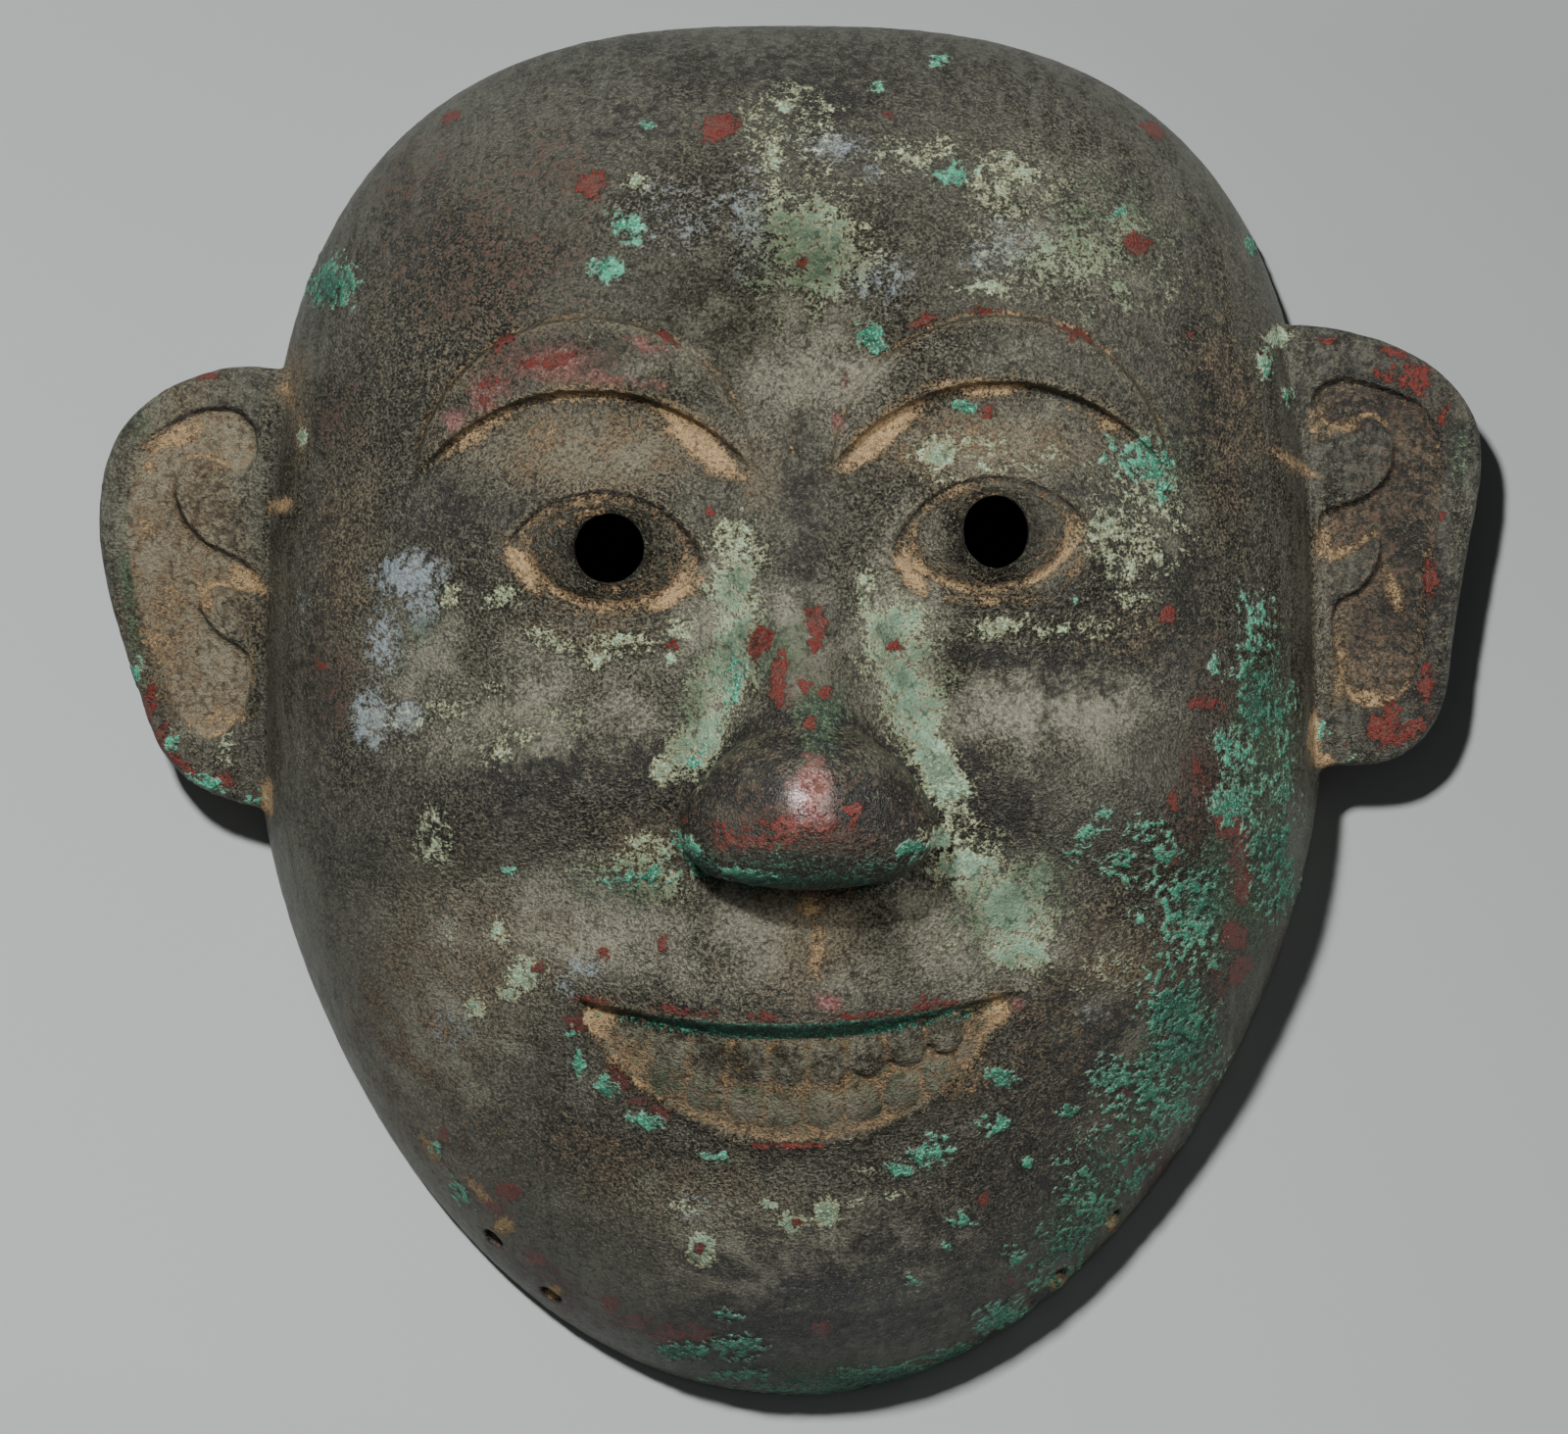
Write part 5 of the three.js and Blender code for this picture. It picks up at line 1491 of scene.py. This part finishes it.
def bronze_material(colours):
    """Old cast bronze under its patina, from attributes of the mesh and the node groups."""
    material = bpy.data.materials.new(BRONZE)
    material.use_nodes = True
    web = Web(material.node_tree)
    shader = material.node_tree.nodes["Principled BSDF"]
    place = web.node("ShaderNodeTexCoord").outputs["Object"]

    def amount(name):
        return web.node("ShaderNodeAttribute", attribute_name=name).outputs["Fac"]

    noises = web.group(weathering_group("ShaderNodeTree"), {"Place": place})["Noises"]
    grain = web.group(casting_grain_group(), {"Place": place, "Noises": noises, "Pebble": PIT_SIZE})
    streak_place = web.node("ShaderNodeMapping", {"Vector": place, "Scale": STREAKS["stretch"]}).outputs[0]
    streaks = web.step(web.noise(streak_place, *STREAKS["noise"]), *STREAKS["step"])
    drift = web.step(web.noise(place, *DRIFT["noise"]), *DRIFT["step"])
    gloss, inside = amount("gloss"), amount("inside")

    colour = web.blend(grain["Tone"], colours.bronze_deep, colours.bronze)
    # Pale flecks on the bare bronze: partly grain, partly painted glints
    colour = web.blend(web.times(grain["Flecks"], SHARES["flecks"]), colour, colours.stone)
    colour = web.blend(web.times(drift, SHARES["drift"]), colour, colours.bronze_grey)
    streaked = web.times(streaks, web.times(amount("wall"), SHARES["streaks"]))
    colour = web.blend(streaked, colour, colours.bronze_grey)
    worn = web.times(web.times(amount("wear"), grain["Tone"]), SHARES["wear"])
    colour = web.blend(worn, colour, colours.bronze_worn)
    colour = web.blend(inside, colour, web.blend(grain["Tone"], colours.bronze_deep, colours.hollow))
    rough = web.level(gloss, FINISH["plain"], FINISH["glossy"])
    rough = web.math("ADD", rough, web.times(grain["Tone"], FINISH["tops"]))
    rough = web.level(inside, rough, FINISH["hollow"])
    metal = web.level(gloss, METAL["plain"], METAL["glossy"])
    coarse, smooth = (web.level(amount(name), 1.0, BUMP[name]) for name in ("coarse", "smooth"))
    height = web.times(grain["Height"], web.times(coarse, smooth))

    patches = patch_group("ShaderNodeTree")
    for name, layer in LAYERS.items():
        mask = web.mask(patches, amount(name), noises, layer.weights, layer.soft)
        low, high, flecked = (getattr(colours, shade_name) for shade_name in layer.colours)
        rim = web.times(web.times(mask, web.math("SUBTRACT", 1.0, mask)), RIM_PEAK)
        specks = web.math("MAXIMUM", web.times(rim, layer.rim), grain["Flecks"])
        shift = web.level(layer.mottle, grain["Tone"], grain["Mottle"])
        tint = web.blend(specks, web.blend(shift, low, high), flecked)
        colour = web.blend(mask, colour, tint)
        rough = web.level(mask, rough, layer.rough)
        metal = web.level(mask, metal, 0.0)
        if layer.bump:
            height = web.math("ADD", height, web.times(mask, layer.bump))

    rough = web.level(gloss, rough, FINISH["polished"])
    colour = web.blend(web.times(grain["Pits"], SHARES["pits"]), colour, colours.bronze_deep)
    bump = web.node("ShaderNodeBump", {"Strength": 1.0, "Distance": BUMP["distance"], "Height": height})
    web.feed(shader.inputs["Base Color"], colour)
    web.feed(shader.inputs["Roughness"], rough)
    web.feed(shader.inputs["Metallic"], metal)
    web.feed(shader.inputs["Normal"], bump.outputs[0])
    return material


def shade(red, green, blue):
    """A colour as a shader wants it, from the shares of 255 that a screen shows."""
    shares = [value / 255 for value in (red, green, blue)]
    return [s / 12.92 if s <= 0.04045 else ((s + 0.055) / 1.055) ** 2.4 for s in shares] + [1.0]


def length(name, description, default, low, high):
    """A length that a user can change; its default and limits are in millimetres."""
    return bpy.props.FloatProperty(
        name=name,
        description=description,
        default=default * MM,
        min=low * MM,
        max=high * MM,
        unit="LENGTH",
        precision=4,
    )


def colour(name, description, default):
    """A colour that a user can change."""
    return bpy.props.FloatVectorProperty(
        name=name, description=description, default=default, size=4, min=0.0, max=1.0, subtype="COLOR"
    )


def power(name, description, default):
    """The power of a light that a user can change."""
    return bpy.props.FloatProperty(name=name, description=description, default=default, min=0, unit="POWER")


class MaskSizes(bpy.types.PropertyGroup):
    """Sizes of the casting"""

    wall: length("Wall", "Thickness of the cast wall", WALL, 2.5, 7)
    nose_rise: length("Nose", "Rise of the nose's ridge over the face", RIDGE["rise"], 8, 26)
    cheek_rise: length("Cheeks", "Rise of the cheeks over the face", CHEEK["rise"], 0, 9)
    brow_rise: length("Brows", "Rise of the brows' lower edges", BROW["rise"], 0.5, 5)
    eye_recess: length("Eye recess", "Depth of the recesses round the eyeballs", EYE["recess"], 0.3, 3)
    mouth_depth: length("Mouth", "Depth of the mouth under the upper lip", MOUTH_DEPTH["deep"], 1, 5)
    tooth_rise: length("Teeth", "Rise of the teeth over the mouth's floor", TOOTH_RISE, 0.3, 2.5)
    ear_recess: length("Ear scrolls", "Depth of the scrolls sunk into the ears", EAR["recess"], 0.5, 3)
    pebble_size: length("Pebbles", "Size of the lumps of the casting skin", 3.2, 1, 10)
    pebble_depth: length("Pebble depth", "Depth of the lumps of the casting skin", 0.16, 0, 0.6)
    crust: length("Crust", "Thickness of the green crusts", 0.22, 0, 0.8)


class MaskColours(bpy.types.PropertyGroup):
    """Colours of the bronze and its patina"""

    bronze: colour("Bronze", "Dark bronze on the tops of the grain", shade(90, 87, 73))
    bronze_deep: colour("Deep bronze", "Bronze in the grain's pits", shade(21, 19, 13))
    bronze_grey: colour("Grey bronze", "Greyer bronze in broad patches", shade(112, 112, 100))
    olive: colour("Olive", "Dull green film", shade(72, 88, 58))
    bronze_worn: colour("Worn bronze", "Bronze rubbed bare on edges", shade(128, 118, 94))
    umber: colour("Umber", "Warm brown of the jaw and the forehead", shade(96, 80, 60))
    # On the bare bronze its flecks are partly painted glints
    stone: colour("Stone grey", "Pale grey flecks", shade(140, 137, 118))
    hollow: colour("Hollow", "Dusty bronze of the back", shade(88, 84, 66))
    rust: colour("Brown red", "Mottled brown red", shade(84, 56, 44))
    blue_grey: colour("Blue grey", "Soft blue grey blooms", shade(134, 150, 160))
    # Pink bloom, made lighter to carry part of the nose tip's painted highlight
    pink: colour("Pink", "Pinkish copper bloom", shade(144, 90, 90))
    cream: colour("Cream", "Cream crust", shade(212, 206, 160))
    celadon: colour("Celadon", "Pale grey green crust", shade(138, 180, 152))
    verdigris: colour("Verdigris", "Duller green under the pale crust", shade(102, 118, 94))
    dust: colour("Dust", "Grey tan film", shade(128, 121, 98))
    soil: colour("Soil", "Dry ochre soil", shade(188, 156, 112))
    soil_deep: colour("Deep soil", "Darker soil", shade(130, 110, 80))
    cuprite: colour("Cuprite", "Red copper oxide", shade(104, 28, 20))
    malachite: colour("Malachite", "Bright green copper crust", shade(70, 158, 126))
    malachite_deep: colour("Deep malachite", "Dark green copper crust", shade(32, 92, 70))
    mint: colour("Mint", "Palest green flecks", shade(154, 202, 174))
    bottle_green: colour("Bottle green", "Nearly black green in the deepest recesses", shade(16, 42, 34))


class MaskStage(bpy.types.PropertyGroup):
    """The floor and the lights"""

    # The floor's two colours hold a painted falloff of light between them
    floor: colour("Floor", "Colour of the pale floor at its bright end", (0.67, 0.705, 0.69, 1.0))
    floor_dim: colour("Dim floor", "Colour of the pale floor at its dim end", (0.395, 0.418, 0.408, 1.0))
    key: power("Key light", "Power of the light from the upper left", 12.5)
    front: power("Front light", "Power of the broad light overhead", 4.5)
    side: power("Side light", "Power of the weaker light from the upper right", 8.5)
    sky: bpy.props.FloatProperty(
        name="Room",
        description="Strength of the light from all round",
        default=0.05,
        min=0,
        subtype="FACTOR",
    )


def in_millimetres(group):
    """The lengths of a property group as plain numbers in millimetres."""
    return {name: getattr(group, name) / MM for name in group.__annotations__}


def floor_height(x, y, sizes):
    """Height of the mouth's floor."""
    return dome_height(x, y, soft_rise(x, y, sizes) + mouth_rise(x, y, sizes))


def tooth_places(row, sizes):
    """Where the teeth of one row stand on the mouth's floor, and how they lean with it."""
    x, y = tooth_spots(row)
    z = floor_height(x, y, sizes)
    up = floor_height(x, y + 1, sizes) - floor_height(x, y - 1, sizes)
    across = floor_height(x + 1, y, sizes) - floor_height(x - 1, y, sizes)
    lean = np.stack([np.arctan(up / 2), -np.arctan(across / 2), 0 * x], axis=1)
    return np.stack([x, y, z - 0.1], axis=1), lean


class MASK_OT_bronze(bpy.types.Operator):
    """Mix the bronze and its patina"""

    bl_idname = "mask.bronze"
    bl_label = "Mix the bronze"

    def execute(self, context):
        bronze_material(context.scene.mask_colours)
        return {"FINISHED"}


class MASK_OT_teeth(bpy.types.Operator):
    """Set both rows of teeth on the mouth's floor"""

    bl_idname = "mask.teeth"
    bl_label = "Set the teeth"

    def execute(self, context):
        sizes = in_millimetres(context.scene.mask_sizes)
        tree = tooth_row_tree()
        rows = []
        for number, row in enumerate(TEETH_ROWS):
            spots, lean = tooth_places(row, sizes)
            places = bpy.data.meshes.new("tooth places")
            places.from_pydata((spots * MM).tolist(), [], [])
            places.attributes.new("lean", "FLOAT_VECTOR", "POINT").data.foreach_set("vector", lean.ravel())
            piece = link("teeth_" + str(number + 1), places)
            grow(piece, tree, {
                "Half Width": row["half_x"] * MM,
                "Half Length": row["half_y"] * MM,
                "Rise": sizes["tooth_rise"] * MM,
                "Seed": TEETH_SEED + number,
                "Material": bpy.data.materials[BRONZE],
            })
            plain_mesh(piece, piece.name)
            rows.append(piece)
        with context.temp_override(active_object=rows[0], selected_editable_objects=rows):
            bpy.ops.object.join()
        rows[0].name = "teeth"
        return {"FINISHED"}


class MASK_OT_cast(bpy.types.Operator):
    """Cast the mask in one piece: the hollow shell with its features, ears, teeth and bores"""

    bl_idname = "mask.cast"
    bl_label = "Cast the mask"

    def execute(self, context):
        lengths = context.scene.mask_sizes
        sizes = in_millimetres(lengths)
        relief = Relief(sizes, FIELD_STEP)
        piece = link("bronze_mask", skin_mesh("bronze_mask", relief, sizes))
        amounts = patina(piece.data, relief)
        raised = (*CRUSTS, "coarse", "inside")
        keep_amounts(piece.data, {name: amounts[name] for name in raised})
        grow(piece, cast_skin_tree(), {
            "Pebble Size": lengths.pebble_size,
            "Pebble Depth": lengths.pebble_depth,
            "Crust": lengths.crust,
            "Material": bpy.data.materials[BRONZE],
        })
        thin = piece.modifiers.new("thin", "DECIMATE")
        thin.ratio = min(1.0, MOST_TRIANGLES / (2 * len(piece.data.polygons)))
        mesh = plain_mesh(piece, "bronze_mask")
        smooth_folds(mesh)
        mesh.shade_smooth()
        for name in raised:
            mesh.attributes.remove(mesh.attributes[name])
        keep_amounts(mesh, patina(mesh, relief))
        bpy.data.collections[FILLED].objects.link(piece)
        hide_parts("mask")
        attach(piece, "root")
        return {"FINISHED"}


def floor_material(settings):
    """Pale paper with a painted falloff of light: a little brighter towards one corner."""
    paper = bpy.data.materials.new("pale floor")
    paper.use_nodes = True
    web = Web(paper.node_tree)
    shader = paper.node_tree.nodes["Principled BSDF"]
    place = web.node("ShaderNodeTexCoord").outputs["Object"]
    along = web.dot(place, FLOOR_PAINTED_FALLOFF["towards"])
    ends = {"Value": along, "From Min": FLOOR_PAINTED_FALLOFF["bright"], "From Max": FLOOR_PAINTED_FALLOFF["dim"]}
    share = web.node("ShaderNodeMapRange", ends).outputs["Result"]
    web.feed(shader.inputs["Base Color"], web.blend(share, settings.floor, settings.floor_dim))
    shader.inputs["Roughness"].default_value = FLOOR_ROUGHNESS
    return paper


def add_light(context, name, power):
    """One of the named lights, aimed at the middle of the floor."""
    spec = LIGHTS[name]
    light = bpy.data.lights.new(name + " light", "AREA")
    light.size = spec["size"]
    light.energy = power
    lamp = bpy.data.objects.new(name + " light", light)
    lamp.location = spec["at"]
    lamp.rotation_euler = (-lamp.location.copy()).to_track_quat("-Z", "Y").to_euler()
    if spec["fill"]:
        lamp.light_linking.receiver_collection = bpy.data.collections[FILLED]
    context.scene.collection.objects.link(lamp)


def add_room(context, strength):
    """Even light from all round."""
    world = bpy.data.worlds.new("room")
    world.use_nodes = True
    background = world.node_tree.nodes["Background"]
    background.inputs["Color"].default_value = ROOM_COLOUR
    background.inputs["Strength"].default_value = strength
    context.scene.world = world


def add_camera(context):
    """The camera that looks straight down at the mask."""
    camera = bpy.data.cameras.new("camera")
    camera.sensor_width = VIEW["sensor"]
    camera.lens = VIEW["lens"]
    eye = bpy.data.objects.new("camera", camera)
    eye.location = [place * MM for place in VIEW["eye"]]
    context.scene.collection.objects.link(eye)
    context.scene.camera = eye


class MASK_OT_stage(bpy.types.Operator):
    """Set the floor, the lights and the camera"""

    bl_idname = "mask.stage"
    bl_label = "Set the stage"

    def execute(self, context):
        settings = context.scene.mask_stage
        bpy.ops.mesh.primitive_plane_add(size=FLOOR_SIZE, location=(0, 0, 0))
        floor = context.object
        floor.name = "floor"
        floor.data.materials.append(floor_material(settings))
        bpy.data.collections.new(FILLED)
        for name in LIGHTS:
            add_light(context, name, getattr(settings, name))
        add_room(context, settings.sky)
        add_camera(context)
        return {"FINISHED"}


class MASK_PT_panel(bpy.types.Panel):
    """The mask's sizes, colours and steps"""

    bl_idname = "MASK_PT_panel"
    bl_label = "Bronze mask"
    bl_space_type = "VIEW_3D"
    bl_region_type = "UI"
    bl_category = "Mask"

    def draw(self, context):
        scene = context.scene
        for group in (scene.mask_sizes, scene.mask_colours, scene.mask_stage):
            box = self.layout.box()
            for name in group.__annotations__:
                box.prop(group, name)
        for step in STEPS:
            self.layout.operator(step.bl_idname)


GROUPS = {"mask_sizes": MaskSizes, "mask_colours": MaskColours, "mask_stage": MaskStage}
STEPS = (MASK_OT_stage, MASK_OT_bronze, MASK_OT_teeth, MASK_OT_cast)


def register():
    for cls in (*GROUPS.values(), *STEPS, MASK_PT_panel):
        bpy.utils.register_class(cls)
    for name, group in GROUPS.items():
        setattr(bpy.types.Scene, name, bpy.props.PointerProperty(type=group))


def unregister():
    for name in GROUPS:
        delattr(bpy.types.Scene, name)
    for cls in reversed((*GROUPS.values(), *STEPS, MASK_PT_panel)):
        bpy.utils.unregister_class(cls)


def main():
    register()
    bpy.ops.mask.stage()
    bpy.ops.mask.bronze()
    bpy.ops.mask.teeth()
    bpy.ops.mask.cast()


if __name__ == "__main__":
    main()
